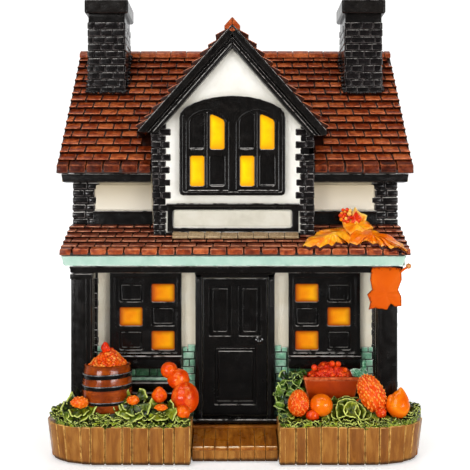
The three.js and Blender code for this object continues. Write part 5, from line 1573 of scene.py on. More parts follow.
def kale(S, c, R, h, rnd, mat=0, open_=0.0):
    """A head of kale: two whorls of broad wavy leaves round a hollow heart; those in front lie lower than those behind."""
    for ring, count, l_, w_, r_, d_ in ((0, 7, 1.0, 0.5, 0.62, 0.45), (1, 6, 0.74, 0.44, 0.95, 0.15), (2, 5, 0.42, 0.3, 0.9, 0.0)):
        if ring == 2 and open_:
            continue
        for i in range(count):
            a = 6.283 * (i + rnd.uniform(-0.25, 0.25)) / count + ring * 0.45
            ahead = max(0.0, -math.sin(a))
            low = 1.0 - (0.62 if open_ else 0.3) * ahead
            fall = 0.5 * ahead if open_ else 0.0
            leaf(S, (c[0] + 0.14 * R * math.cos(a), c[1] + 0.14 * R * math.sin(a), c[2] + 0.42 * h * fall * 2 + rnd.uniform(-0.3, 0.3)), a, R * l_ * (1 - 0.25 * fall) * rnd.uniform(0.88, 1.1), R * w_ * (1 + 0.3 * fall) * rnd.uniform(0.88, 1.1),
                 h * r_ * low * (1 - fall) * rnd.uniform(0.85, 1.15), h * (d_ + 0.2 * fall), 0.055 * R, rnd, mat, waves=rnd.uniform(1.3, 2.0), n=13, m=5, cup=0.22 + 0.15 * ring, teeth=0.26)


def bowl(S, c, r, depth, tilt, turn, rnd, mat=0, tint=0.5, ruffle=0.25, a0=0.0, a1=6.283, n=40, m=8):
    """A cupped leaf: a shallow bowl whose mouth leans towards the front by tilt."""
    ph = rnd.uniform(0, 6.28)
    rot = Matrix.Rotation(turn, 3, "Z") @ Matrix.Rotation(tilt, 3, "X")
    whole = a1 - a0 > 6.2
    pts, rim, faces = [], [], []
    cols = n if whole else n + 1
    for k in range(m + 1):
        q_ = k / m
        for i in range(cols):
            a = a0 + (a1 - a0) * i / n
            rr = r * max(q_, 0.02) * (1 + 0.07 * q_ * math.sin(3 * a + ph) + 0.03 * q_ * math.sin(11 * a + ph))
            z = -depth * (1 - q_ ** 2.4) + ruffle * q_ ** 3 * math.sin(5 * a + ph) + 0.06 * r * math.sin(9 * a + 4 * q_) * q_ * (1 - q_)
            pts.append(Vector(c) + rot @ Vector((rr * math.cos(a), rr * math.sin(a), z)))
            rim.append(q_ ** 3)
    for k in range(m):
        for i in range(n if whole else n):
            j = (i + 1) % cols
            faces.append([k * cols + i, k * cols + j, (k + 1) * cols + j, (k + 1) * cols + i])
    S.put(pts, faces, mat, tint, 0.0, rim)


def fans(S, px_, py_, y_, rnd, petals, tilt=62, depth=1.5, mat=0):
    """Broad leaf faces round a hub at a picture point: each petal is (middle angle, half angle, radius, forward)."""
    for mid_, half_, r, out in petals:
        X_, Z_ = at(px_, py_, y_)
        bowl(S, (X_, y_ - out, Z_), r, depth * rnd.uniform(0.7, 1.2), math.radians(tilt + rnd.uniform(-6, 6)), rnd.uniform(-0.15, 0.15), rnd, mat, rnd.random(), 0.5,
             math.radians(mid_ - half_), math.radians(mid_ + half_), 22, 8)


def cover(S, spots, rnd, size=3.0, mat=0):
    """Low ground cover: small leaves at all angles."""
    for x, y, z in spots:
        for k in range(3):
            leaf(S, (x + rnd.uniform(-1, 1), y + rnd.uniform(-1, 1), z + rnd.uniform(-0.4, 0.4)), rnd.uniform(0, 6.283), size * rnd.uniform(0.7, 1.25), size * rnd.uniform(0.3, 0.45),
                 size * rnd.uniform(0.2, 0.75), size * rnd.uniform(0.0, 0.4), 0.35, rnd, mat, n=7, m=3, cup=rnd.uniform(0.1, 0.5), teeth=0.2)


def in_planter(p):
    """Keeps leaves within the rim and off the step."""
    x, y, z = p
    if abs(x) > 50.5 and y < -38.0:
        r = math.hypot((abs(x) - 50.5) / 18.3, (y + 38.0) / 16.4)
        if r > 1.0:
            x = math.copysign(50.5 + (abs(x) - 50.5) / r, x)
            y = -38.0 + (y + 38.0) / r
    x = math.copysign(max(15.9 if z > 14.4 else 16.3, min(68.6, abs(x))), x)
    return (x, max(-54.7, y), z)


def rosette(S, c, count, length, width, rise, rnd, mat=0, ruffle=0.7, droop=1.5, start=0.0, spread=6.283, cup=0.25, inner=True):
    for i in range(count):
        a = start + spread * (i + rnd.uniform(-0.3, 0.3)) / count
        ring = rnd.uniform(0.75, 1.1)
        leaf(S, (c[0], c[1], c[2] + rnd.uniform(-0.4, 0.4)), a, length * ring, width * ring, rise * rnd.uniform(0.7, 1.2), droop * rnd.uniform(0.5, 1.3), ruffle, rnd, mat, cup=cup)
    if inner:
        for i in range(max(3, count // 2)):
            a = start + spread * (i + rnd.uniform(-0.3, 0.3)) / max(3, count // 2) + 0.4
            leaf(S, (c[0], c[1], c[2] + 0.8), a, length * 0.55, width * 0.8, rise * 1.5, 0.0, ruffle * 0.8, rnd, mat, cup=cup * 1.6)


def bed(name, node, s):
    """The planting bed: the casting's own body with a lumpy top."""
    S = Shape()
    S.cad(node)
    ob = S.build(name, [SOIL], "foliage_green", [node], angle=180, weighted=False)
    m = ob.modifiers.new("grid", "REMESH")
    m.mode = "VOXEL"
    m.voxel_size = 0.75 * MM
    m.use_smooth_shade = True
    tex = bpy.data.textures.new("lumps", "CLOUDS")
    tex.noise_scale = 2.6 * MM
    tex.noise_depth = 2
    m = ob.modifiers.new("lumps", "DISPLACE")
    m.texture = tex
    m.texture_coords = "LOCAL"
    m.strength = 1.7 * MM
    m.mid_level = 0.62
    return ob


bed("garden_left_bed", "garden_left", -1)
bed("garden_right_bed", "garden_right", 1)

# left planter: three open heads of kale round the fruit, low cover between them
rnd = random.Random(81)
S = Shape()
kale(S, (-55.2, -46.4, 16.4), 5.6, 4.6, rnd, open_=1)
kale(S, (-36.4, -46.6, 17.0), 5.4, 5.0, rnd, open_=1)
kale(S, (-26.4, -48.2, 15.4), 4.8, 3.6, rnd, open_=1)
kale(S, (-63.6, -43.5, 15.0), 5.0, 3.6, rnd)
kale(S, (-62.0, -36.5, 15.0), 4.8, 3.4, rnd)
kale(S, (-31.0, -39.5, 15.6), 6.6, 5.2, rnd)
kale(S, (-39.0, -35.5, 15.0), 4.6, 3.4, rnd)
kale(S, (-22.5, -36.0, 15.0), 4.4, 3.4, rnd)
kale(S, (-47.4, -52.0, 14.8), 4.4, 2.6, rnd)
kale(S, (-42.6, -51.0, 14.2), 4.2, 2.8, rnd)
fans(S, 80.0, 405.0, -50.0, rnd, ((150, 26, 5.6, -0.6), (28, 26, 4.8, -0.6), (196, 30, 6.9, 0.0), (243, 27, 6.4, 0.4), (290, 25, 5.8, 0.4), (336, 27, 5.8, 0.0), (220, 22, 4.2, 1.0), (265, 22, 3.8, 1.2), (312, 22, 4.0, 1.0)))
fans(S, 133.0, 402.0, -49.8, rnd, ((140, 26, 5.2, -0.6), (40, 26, 5.4, -0.6), (190, 28, 5.6, 0.0), (236, 26, 6.6, 0.4), (280, 25, 6.8, 0.5), (328, 27, 6.4, 0.2), (212, 22, 3.8, 1.0), (258, 20, 4.4, 1.2), (304, 22, 4.4, 1.0)))
fans(S, 161.0, 408.6, -51.0, rnd, ((160, 24, 4.8, -0.6), (20, 24, 4.8, -0.6), (205, 26, 5.2, 0.0), (250, 25, 4.6, 0.3), (296, 25, 4.6, 0.3), (340, 25, 5.8, 0.0)))
fans(S, 172.0, 416.0, -50.8, rnd, ((215, 26, 3.6, 0.2), (270, 26, 3.4, 0.4), (325, 26, 4.0, 0.2)))
fans(S, 108.0, 414.0, -51.6, rnd, ((200, 24, 3.8, 0.1), (250, 26, 3.4, 0.3), (300, 26, 3.4, 0.3), (345, 24, 3.8, 0.1), (120, 30, 2.8, -0.3), (60, 30, 3.0, -0.3)))
spots = []
for i in range(40):
    x = -66.5 + 48.5 * (i + 0.5) / 40
    spots.append((x, -53.4 + rnd.uniform(-0.5, 0.6), 13.3))
    if i % 4 == 1:
        spots.append((x, -50.8 + rnd.uniform(-1, 1), 14.2))
cover(S, spots, rnd, 2.7)
for px_, py_ in ((62, 414), (70, 419), (97, 416), (104, 420), (116, 418), (124, 421), (142, 419), (150, 414), (158, 420), (168, 421), (183, 417), (187, 420)):
    fans(S, px_, py_ - 3.0, -52.0, rnd, ((rnd.uniform(190, 240), 30, rnd.uniform(2.6, 3.6), 0.1), (rnd.uniform(270, 345), 30, rnd.uniform(2.6, 3.6), 0.3)), 58, 1.0)
S.v = [in_planter(p) for p in S.v]
S.build("garden_left_leaves", [LEAF], "foliage_green", angle=180, weighted=False, solid=0.35)

# right planter: low cover in front of the gourds, kale at the far end, dark vine by the door
rnd = random.Random(83)
S = Shape()
kale(S, (62.8, -45.6, 14.4), 6.2, 4.2, rnd)
kale(S, (65.0, -40.0, 14.8), 4.6, 3.8, rnd)
kale(S, (63.0, -35.5, 14.8), 4.6, 3.4, rnd)
kale(S, (55.2, -51.6, 13.4), 4.4, 2.6, rnd)
kale(S, (50.0, -35.5, 15.0), 5.0, 4.0, rnd)
kale(S, (27.4, -37.5, 15.0), 4.6, 3.6, rnd)
spots = []
for i in range(38):
    x = 17.5 + 49.5 * (i + 0.5) / 38
    spots.append((x, -53.3 + rnd.uniform(-0.6, 0.7), 13.3))
    if i % 2:
        spots.append((x, -51.2 + rnd.uniform(-0.8, 0.8), 13.9))
for i in range(8):
    spots.append((17.4 + rnd.uniform(0, 2.5), -51.5 + 1.8 * i, 14.3))
cover(S, spots, rnd, 3.3)
S.v = [in_planter(p) for p in S.v]
S.build("garden_right_leaves", [LEAF], "foliage_green", angle=180, weighted=False, solid=0.35)

rnd = random.Random(84)
S = Shape()
for x, y, z, k in ((17.2, -43.0, 15.6, 1.0), (18.6, -40.6, 18.6, 1.0), (18.2, -38.6, 22.6, 1.0), (20.4, -38.6, 26.4, 0.95), (22.8, -38.4, 29.0, 0.8), (21.6, -41.4, 19.4, 1.0),
                   (23.4, -39.6, 23.6, 0.95), (18.4, -46.8, 15.8, 0.9), (25.6, -37.0, 26.6, 0.8)):
    for i in range(7):
        leaf(S, (x, y, z + rnd.uniform(-0.4, 0.4)), 6.283 * (i + rnd.uniform(-0.3, 0.3)) / 7, 4.7 * k, 1.7 * k, 2.4 * k, 3.4 * k, 0.4, rnd, 0, n=10, m=4, teeth=0.3, cup=0.15)
fans(S, 283.5, 396.0, -43.6, rnd, ((110, 24, 4.6, 0.0), (200, 26, 3.0, 0.2), (250, 26, 5.4, 0.4), (310, 28, 4.8, 0.2), (30, 26, 4.4, 0.0)))
fans(S, 290.0, 380.0, -40.4, rnd, ((140, 26, 4.4, 0.0), (215, 26, 4.6, 0.2), (285, 30, 6.2, 0.4), (340, 24, 4.0, 0.0)))
fans(S, 279.5, 412.0, -47.6, rnd, ((220, 26, 2.6, 0.2), (290, 28, 4.4, 0.3), (80, 30, 3.6, 0.0)))
S.tube([(18.5, -41.5, 14.5), (18.6, -40.8, 18.0), (18.6, -39.8, 22.0), (20.4, -39.2, 26.5), (22.8, -39.0, 29.4), (24.9, -38.8, 30.9), (26.0, -38.8, 30.4), (26.2, -38.9, 29.4)], 0.6, 0, 0.6, 8)
S.tube([(24.5, -37.5, 14.5), (24.6, -37.4, 20.0), (24.8, -37.3, 25.0)], 0.7, 0, 0.2, 8)
# leaf, seen flat, between the fruit crate and the tall gourd
fr = FRONT(-42.6)
ol = [at(x, y, -42.6) for x, y in ((350.6, 370.6), (353.0, 369.0), (356.0, 368.9), (359.0, 369.6), (362.0, 368.6), (365.4, 369.4), (367.8, 372.0), (368.0, 375.0), (366.0, 378.0), (361.0, 381.0), (356.2, 379.4), (352.8, 375.0))]
if area(ol) < 0:
    ol.reverse()
S.sheet(ol, at(359.6, 374.0, -42.6), fr, 6, lambda k, u, v: 1.1 * (1 - k * k) + 0.35 * k * math.sin(u * 2.2 + v), 0.9, 1, 0.6)
g0, g1, g2, g3 = at(362.4, 371.5, -43.4), at(364.4, 366.4, -43.4), at(363.8, 362.6, -43.4), at(365.6, 361.2, -43.4)
S.tube([(g0[0], -43.2, g0[1]), (g1[0], -43.4, g1[1]), (g2[0], -43.4, g2[1]), (g3[0], -43.6, g3[1])], 0.46, 1, 0.9, 10, taper=lambda k: 1.35 - 0.5 * k, rim=0.4)
S.tube([(48.2, -41.5, 14.5), (48.0, -41.8, 20.0), (at(361, 0, -42.6)[0], -42.4, 28.5)], 0.8, 0, 0.4, 8)
S.v = [in_planter(p) if p[2] < 18 else p for p in S.v]
S.build("garden_vine", [VINE, BLUE_LEAF], "foliage_green", angle=180, weighted=False, solid=0.35)

# cabbage: nested cupped leaves, broad loose leaves below
rnd = random.Random(85)
S = Shape()


def cup_at(px, py, y, r, depth, tilt, turn, tint, **kw):
    X_, Z_ = at(px, py, y)
    bowl(S, (X_, y, Z_), r, depth, math.radians(tilt), turn, rnd, 0, tint, **kw)


cup_at(350.0, 412.0, -50.8, 5.2, 2.6, 56, 0.0, 0.6, ruffle=0.35)
cup_at(352.0, 409.6, -51.2, 3.0, 1.8, 56, 0.15, 0.9, ruffle=0.25)
cup_at(357.0, 404.6, -46.4, 3.4, 3.0, 40, 0.2, 0.4, ruffle=0.3)
cup_at(345.6, 402.6, -46.6, 2.9, 2.6, 46, -0.3, 0.15, ruffle=0.3)
cup_at(338.6, 411.0, -50.4, 3.0, 2.6, 50, -0.4, 0.55, ruffle=0.35)
cup_at(362.8, 412.0, -50.6, 3.2, 2.6, 50, 0.5, 0.6, ruffle=0.35)
fans(S, 350.0, 408.0, -48.6, rnd, ((205, 26, 8.6, 0.2), (245, 24, 6.6, 0.8), (295, 24, 6.6, 0.8), (335, 26, 8.8, 0.2), (165, 22, 7.4, -0.6), (15, 22, 7.0, -0.6)), 60, 1.8)
fans(S, 366.0, 414.0, -50.4, rnd, ((235, 26, 4.2, 0.3), (290, 26, 4.0, 0.3), (345, 26, 5.0, 0.1)), 60, 1.2)
fans(S, 333.0, 415.0, -50.8, rnd, ((200, 26, 4.2, 0.2), (260, 26, 3.4, 0.3), (310, 26, 3.4, 0.3)), 60, 1.2)
cc = (41.2, -49.4, 13.4)
for i in range(7):
    a = 3.3 + 2.9 * i / 6 + rnd.uniform(-0.1, 0.1)
    leaf(S, (cc[0] + 1.6 * math.cos(a), cc[1] + 0.6 * math.sin(a), cc[2] - 0.6), a, 8.4 - 4.6 * abs(math.sin(a)), 3.2, 2.4, 1.4, 0.3, rnd, 0, waves=1.0, n=14, m=6, cup=0.2, teeth=0.2)
S.v = [in_planter(p) for p in S.v]
S.build("garden_cabbage", [CABBAGE], "foliage_green", angle=180, weighted=False, solid=0.4)

# small gourds and fruit lying in the beds
rnd = random.Random(87)
S = Shape()
for px_, py_, y_, r, w, hh, col in ((80.0, 402.4, -49.4, (3.1, 2.4, 2.0), 60, 0.16, 1.0), (133.0, 400.2, -49.2, (2.2, 1.9, 1.7), 40, 0.1, 1.0), (161.0, 407.4, -50.8, (2.3, 1.7, 1.2), 24, 0.1, 1.0),
                                    (312.6, 415.6, -51.0, (2.4, 1.9, 2.0), 0, 0.0, 0.1), (381.0, 412.6, -50.4, (1.9, 1.6, 1.9), 40, 0.1, 0.0), (361.0, 403.0, -44.6, (2.0, 1.6, 1.7), 20, 0.1, 0.0)):
    X_, Z_ = at(px_, py_, y_)
    S.blob((X_, y_, Z_), r, 0, col, warts=w, wart=hh, wart_size=0.16, seed=int(px_), nu=48, nv=30, wave=0.05)
S.blob((-27.4, -46.4, 23.5), (2.75, 2.5, 3.0), 0, 0.6, nu=30, nv=20, profile=lambda z: 1.0 - 0.4 * max(0.0, z) ** 1.3, lobes=4, lobe=0.05)
S.build("garden_small_gourds", [GOURD], "gourd_orange", angle=180, weighted=False)

# ------------------------------------------------------------------ barrel and fruit
BX, BY = -46.7, -42.5
S = Shape()
staves = 16


def stave(a, t_):
    d_ = abs(((a * staves / (2 * math.pi)) % 1.0) - 0.5) * 2
    return -0.005 * max(0.0, (d_ - 0.86) / 0.14)


prof = [(0, 15.4), (7.6, 15.4), (8.0, 15.6)] + [(8.05 + 0.95 * math.sin(math.pi * min(1, (z - 15.6) / 18.2)) ** 0.9, z) for z in [16.2 + 0.9 * i for i in range(20)]] + [(8.3, 34.0), (8.0, 34.2), (7.3, 34.2), (7.1, 33.9), (7.1, 32.4), (0, 32.4)]
S.turned(prof, (BX, BY), 0, 0.5, 128, stave)
for z, r, h, tilt_ in ((20.9, 8.86, 0.62, 0.02), (26.4, 9.0, 0.82, 0.03), (30.5, 8.85, 0.85, 0.035)):
    k0 = len(S.v)
    # each hoop's upper outer edge carries the rim attribute, shown by the black enamel as a painted highlight
    S.turned([(r - 0.9, z - h), (r - 0.02, z - h), (r + 0.12, z - h + 0.2), (r + 0.16, z + h - 0.42), (r + 0.15, z + h - 0.16), (r + 0.02, z + h), (r - 0.9, z + h), (r - 0.9, z - h)], (BX, BY), 1, 0.5, 64,
             rim=[0, 0, 0, 0.0, 0.86, 0.6, 0, 0])
    S.v[k0:] = [(x, y, q_ + (x - BX) * tilt_) for x, y, q_ in S.v[k0:]]


def off_post(p):
    """Keeps the barrel's back clear of the post beside it."""
    x, y, z = p
    if x < -52.0 and y > -44.0:
        if -52.2 - x < y + 43.8:
            x = -52.2
        else:
            y = -43.8
    return (x, y, z)


S.v = [off_post(p) for p in S.v]
S.build("barrel_staves", [BARREL, BLACK], "barrel_brown", ["barrel"], angle=40, weighted=False)

rnd = random.Random(91)
S = Shape()
S.blob((BX + 0.4, BY, 32.6), (6.2, 6.2, 5.4), 0, 0.2, nu=24, nv=14)
for i in range(230):
    k = (i + 0.5) / 230
    a = i * 2.399963
    r = 6.7 * math.sqrt(k)
    z = 33.4 + 5.9 * (1 - (r / 7.0) ** 1.35) + rnd.uniform(-0.2, 0.3)
    x_, y_ = BX + 1.1 * (1 - r / 7.0) + r * math.cos(a), BY + r * math.sin(a)
    if x_ < -52.2 and y_ > -44.0:
        continue
    S.ball((x_, y_, z), rnd.uniform(0.5, 0.78), 0, 0.35 + 0.65 * rnd.random(), 2, rim=rnd.choice((0.0, 0.3, 0.6)))
S.v = [off_post(p) for p in S.v]
S.blob((BX - 0.6, BY - 1.6, 40.3), (1.55, 1.4, 2.1), 1, 0.3, nu=24, nv=16, profile=lambda z: 1.0 - 0.35 * max(0.0, z) ** 1.5, seed=3, wave=0.1)
S.ball((BX + 0.7, BY - 2.0, 39.6), 0.95, 1, 0.4, 3)
S.build("barrel_fruit_heap", [GOURD, GOURD_RED], "gourd_orange", ["barrel_fruit"], angle=180, weighted=False)

# ------------------------------------------------------------------ crate and berries
KX = 35.3
S = Shape()
S.hexa([(KX - 7.4, -42.6, 15.4), (KX + 7.4, -42.6, 15.4), (KX - 7.4, -33.8, 15.4), (KX + 7.4, -33.8, 15.4),
        (KX - 10.05, -43.85, 28.4), (KX + 10.05, -43.85, 28.4), (KX - 10.05, -32.6, 28.4), (KX + 10.05, -32.6, 28.4)], 0.5, 0, 0.5)
S.plate(rrect(KX - 10.2, KX + 10.2, -44.05, -32.45, 0.5, 2), [rrect(KX - 8.9, KX + 8.9, -42.8, -33.7, 0.4, 2)], TOP(0), 28.2, 29.3, 0.3, 2)
S.build("crate_boards", [CRATE], "crate_terracotta", ["crate"])

rnd = random.Random(93)
S = Shape()
S.blob((KX, -38.2, 27.6), (7.8, 4.2, 4.4), 0, 0.2, nu=24, nv=14)
for i in range(280):
    k = (i + 0.5) / 280
    a = i * 2.399963
    r = math.sqrt(k)
    x_, y_ = KX + 8.1 * r * math.cos(a), -38.2 + 4.4 * r * math.sin(a)
    bumpy = 1.2 * noise.noise(Vector((x_ * 0.35, y_ * 0.35, 4.0)))
    z = 28.4 + 4.6 * (1 - r ** 2.2) + bumpy
    S.ball((x_, y_, z), rnd.uniform(0.5, 0.95), 0, rnd.random() ** 1.6, 2, rim=rnd.choice((0.0, 0.0, 0.5)))
for x_, y_, z_, r_ in ((29.3, -40.8, 32.4, 1.2), (35.9, -40.0, 33.6, 1.15), (38.2, -39.6, 33.4, 1.1), (33.6, -40.6, 32.6, 0.9), (40.8, -40.4, 31.4, 0.9)):
    S.ball((x_, y_, z_), r_, 0, rnd.random(), 3, rim=0.2)
S.build("crate_berry_heap", [GOURD_RED], "gourd_orange", ["crate_berries"], angle=180, weighted=False)

# ------------------------------------------------------------------ gourds
S = Shape()
S.blob((-18.2, -45.0, 22.0), (5.05, 4.95, 5.9), 0, 0.2, lobes=5, lobe=0.035, seed=5, nu=60, nv=36)
S.blob((-20.7, -43.0, 28.6), (4.0, 3.8, 3.75), 0, 0.5, seed=6, wave=0.04, lobes=4, lobe=0.03)
S.blob((-24.2, -42.0, 31.6), (3.1, 3.1, 3.05), 0, 0.55, seed=7, wave=0.03)
S.blob((-18.7, -50.0, 17.9), (2.7, 2.5, 2.7), 0, 0.85, seed=8)
S.build("gourd_cluster_castings", [GOURD], "gourd_orange", ["gourd_cluster_left"], angle=180, weighted=False)

S = Shape()
S.blob((22.9, -48.6, 21.0), (3.7, 3.5, 4.9), 0, 0.6, warts=260, wart=0.11, wart_size=0.075, seed=21, nu=150, nv=100, profile=lambda z: 1.0 - 0.12 * z)
S.build("gourd_right_bumpy_casting", [GOURD], "gourd_orange", ["gourd_right_bumpy"], angle=180, weighted=False)
S = Shape()
S.blob((30.9, -48.9, 20.3), (4.15, 4.0, 4.1), 0, 0.5, nu=48, nv=30)
S.build("gourd_right_round_casting", [GOURD_PALE], "gourd_orange", ["gourd_right_round"], angle=180, weighted=False)
S = Shape()
S.blob((49.2, -48.0, 24.1), (4.25, 3.8, 6.8), 0, 0.65, warts=230, wart=0.17, wart_size=0.085, seed=23, nu=150, nv=110, turn=Matrix.Rotation(-0.42, 3, "Y"))
S.build("gourd_right_tall_casting", [GOURD], "gourd_orange", ["gourd_right_tall"], angle=180, weighted=False)
S = Shape()
S.blob((58.6, -48.6, 20.5), (4.1, 3.7, 5.1), 0, 0.5, lobes=3, lobe=0.05, profile=lambda z: 1.0 - 0.34 * max(0.0, z), nu=60, nv=44, turn=Matrix.Rotation(0.05, 3, "Y"))
S.blob((59.5, -48.6, 22.2), (2.9, 2.4, 4.5), 0, 0.5, nu=36, nv=28, profile=lambda z: 1.0 - 0.5 * max(0.0, z))
S.blob((56.4, -48.5, 20.4), (2.5, 2.3, 3.7), 0, 0.3, nu=30, nv=20, profile=lambda z: 1.0 - 0.25 * max(0.0, z), turn=Matrix.Rotation(-0.12, 3, "Y"))
S.build("gourd_right_pear_casting", [GOURD_PALE], "gourd_orange", ["gourd_right_pear"], angle=180, weighted=False)

# ------------------------------------------------------------------ leaf spray on the porch roof
def lobed(points, sharp=0.35, steps=7):
    """Outline of a lobed leaf: the given tips and notches, joined by straight steps."""
    out = []
    n = len(points)
    for i in range(n):
        a, b = points[i], points[(i + 1) % n]
        for k in range(steps):
            t_ = k / steps
            out.append((a[0] + (b[0] - a[0]) * t_, a[1] + (b[1] - a[1]) * t_))
    return out


rnd = random.Random(95)
S = Shape()


def roof_leaf(tips, centre, lift, crown, mat, tint, thick=0.9, wav=0.35, tilt=(0.0, 0.0)):
    outl = lobed(tips)
    if area(outl) < 0:
        outl.reverse()
    cu, cv = centre
    seed = rnd.uniform(0, 50)

    def h(k, u, v):
        ang = math.atan2(v - cv, u - cu)
        return lift + crown * (1 - k * k) + wav * (0.3 + k) * noise.noise(Vector((u * 0.2 + seed, v * 0.26, 0.0))) * 3 + 0.1 * math.cos(ang * 5 + seed) * k + tilt[0] * (u - cu) + tilt[1] * (v - cv)
    S.sheet(outl, centre, PORCH_SLOPE_PLANE, 7, h, thick, mat, tint)


def on_roof(x, y, n_=0.6):
    """Place on the porch slope, n_ above the tiles, that lies at picture point x, y."""
    d_ = Vector(((x - 235.0) / FOCUS, 1.0, (230.0 - y) / FOCUS))
    o = Vector((0.0, CAM_Y, CAM_Z))
    p0 = Vector((0.0, PORCH_Y, PORCH_TOP))
    nn = Vector((0.0, -pup.z, pup.y))
    k = (n_ - (o - p0).dot(nn)) / d_.dot(nn)
    q_ = o + d_ * k - p0
    return (q_.x, q_.dot(pup))


def photo_leaf(tips, centre, lift, crown, mat, tint):
    if lift < 1.0:
        # painted shadow: a dark sheet on the tiles under the leaf's ragged lower edge
        ring_ = [on_roof(x, y + 2.4, 0.3) for x, y in tips]
        if area(ring_) < 0:
            ring_.reverse()
        S.sheet(ring_, on_roof(centre[0], centre[1] + 1.0, 0.3), PORCH_SLOPE_PLANE, 3, lambda k, u, v: 0.28, 0.6, 2, 0.2)
    roof_leaf([on_roof(*q_) for q_ in tips], on_roof(centre[0], centre[1], 1.5), lift, crown, mat, tint)


photo_leaf([(303.0, 244.4), (307.5, 239.6), (313.0, 236.0), (317.0, 232.0), (321.7, 231.0), (328.0, 228.4), (336.7, 227.6), (345.0, 228.0), (352.0, 231.0), (352.5, 238.0), (349.0, 243.4),
            (345.6, 240.0), (341.7, 243.0), (336.6, 241.6), (331.7, 245.6), (328.0, 243.4), (320.0, 247.0), (316.0, 244.4), (310.0, 246.4)], (332.0, 237.0), 0.5, 2.2, 0, 0.9)
photo_leaf([(346.0, 232.0), (352.0, 228.6), (360.0, 227.4), (368.3, 228.2), (373.0, 231.6), (378.3, 233.0), (383.0, 235.8), (388.3, 236.6), (395.0, 238.6), (399.0, 242.0), (403.3, 245.0),
            (407.2, 251.2), (401.7, 247.6), (395.0, 246.4), (391.0, 248.0), (388.3, 244.6), (381.7, 246.0), (378.0, 242.6), (373.0, 243.6), (368.3, 240.4), (361.7, 241.4), (357.0, 244.4),
            (352.0, 242.6), (347.0, 241.0)], (372.0, 237.0), 0.6, 2.4, 0, 0.35)
photo_leaf([(343.0, 229.0), (341.5, 225.5), (347.0, 224.0), (353.0, 223.4), (360.0, 223.6), (368.5, 226.4), (373.0, 230.4), (368.0, 233.0), (362.0, 236.6), (356.0, 234.6), (350.0, 237.4), (345.6, 233.6)],
           (356.5, 229.5), 2.2, 1.6, 0, 0.7)
# leaf that stands up against the wall
wall = face_plane((0, -33.6, 83.1), (1, 0, 0), Vector((0, 0.12, 1.0)))
WY = -34.6


def wall_leaf(tips, centre, lift, crown, mat, tint):
    outl = lobed([(at(x, y, WY)[0], at(x, y, WY)[1] - 83.1) for x, y in tips])
    if area(outl) < 0:
        outl.reverse()
    seed = rnd.uniform(0, 50)
    cu, cv = at(centre[0], centre[1], WY)
    cv -= 83.1
    S.sheet(outl, (cu, cv), wall, 7, lambda k, u, v: lift + crown * (1 - k * k) + 0.3 * math.cos(math.atan2(v - cv, u - cu) * 5 + seed) * k, 1.0, mat, tint)


wall_leaf([(355.8, 206.6), (358.4, 210.4), (361.4, 213.4), (364.6, 214.0), (367.8, 215.6), (366.8, 219.0), (366.0, 222.0), (367.6, 225.0), (368.6, 229.0), (362.0, 231.6), (355.0, 233.0),
           (348.0, 232.0), (342.4, 229.0), (345.4, 224.6), (346.4, 219.6), (349.0, 215.4), (351.4, 212.0), (353.6, 210.0)], (356.0, 221.5), 0.9, 1.6, 3, 0.6)
wall_leaf([(355.9, 209.6), (358.8, 214.6), (362.4, 218.6), (361.0, 222.0), (362.6, 227.0), (358.0, 233.0), (353.0, 233.4), (348.6, 228.4), (350.0, 222.0), (350.6, 217.4), (353.2, 213.6)], (355.6, 222.5), 2.6, 1.1, 1, 0.4)
wall_leaf([(355.0, 222.0), (357.2, 224.6), (357.6, 229.0), (355.6, 232.4), (353.4, 229.0), (353.4, 224.6)], (355.4, 227.5), 4.2, 0.6, 3, 1.0)
bc = at(345.6, 215.8, -35.5)
for k in range(19):
    a = k * 2.4
    r = 0.58 * math.sqrt(k)
    S.ball((bc[0] + 0.85 * r * math.cos(a), -35.2 - 0.4 * (k % 3), bc[1] + 1.25 * r * math.sin(a)), rnd.uniform(0.65, 0.95), 1 if k % 3 else 0, rnd.random() * (0.4 if k % 2 else 1.0), 2,
           rim=rnd.choice((0.0, 0.3, 1.0)))
S.tube([(bc[0], -34.4, bc[1] - 1.5), (42.4, -35.0, 85.2), (44.0, -36.0, 84.2), (46.0, -36.6, 83.6)], 0.55, 1, 0.3, 8)
S.build("leaf_spray_leaves", [ORANGE, RED_LEAF, LEAF_SHADOW, YELLOW_LEAF], "leaf_orange", ["leaf_spray"], angle=180, weighted=False)

# leaf in front of the right post
S = Shape()
px = lambda x, y: at(x, y, -46.6)
tips = [px(*p) for p in ((372.5, 267.5), (388.0, 267.0), (401.6, 268.5), (402.6, 280.0), (399.0, 290.0), (402.0, 297.0), (402.4, 306.5), (396.0, 307.0), (391.5, 303.8), (387.5, 309.8),
                          (381.0, 309.2), (375.0, 308.2), (369.6, 310.0), (371.2, 303.0), (368.2, 295.0), (373.2, 290.0), (371.0, 280.0))]
outl = lobed(tips, steps=4)
if area(outl) < 0:
    outl.reverse()
c_ = (sum(p[0] for p in outl) / len(outl), sum(p[1] for p in outl) / len(outl))
S.sheet(outl, c_, FRONT(0), 7, lambda k, u, v: 45.5 + 1.0 * (1 - k * k) + 0.3 * math.cos(math.atan2(v - c_[1], u - c_[0]) * 5 + 1.0) * k, 1.1, 0, 0.55)
b_ = at(408.0, 266.0, -45.5)
S.blob((b_[0] + 0.2, -45.5, b_[1]), (1.0, 1.0, 1.05), 1, 0.7, nu=24, nv=16)
S.tube([(b_[0] - 0.5, -45.5, b_[1] - 0.6), (b_[0] - 1.6, -45.5, b_[1] - 1.2), (60.0, -45.6, b_[1] - 2.2)], 0.42, 0, 0.3, 8)
S.build("post_leaf_casting", [POST_LEAF, AMBER], "leaf_orange", ["post_leaf"], angle=180, weighted=False)

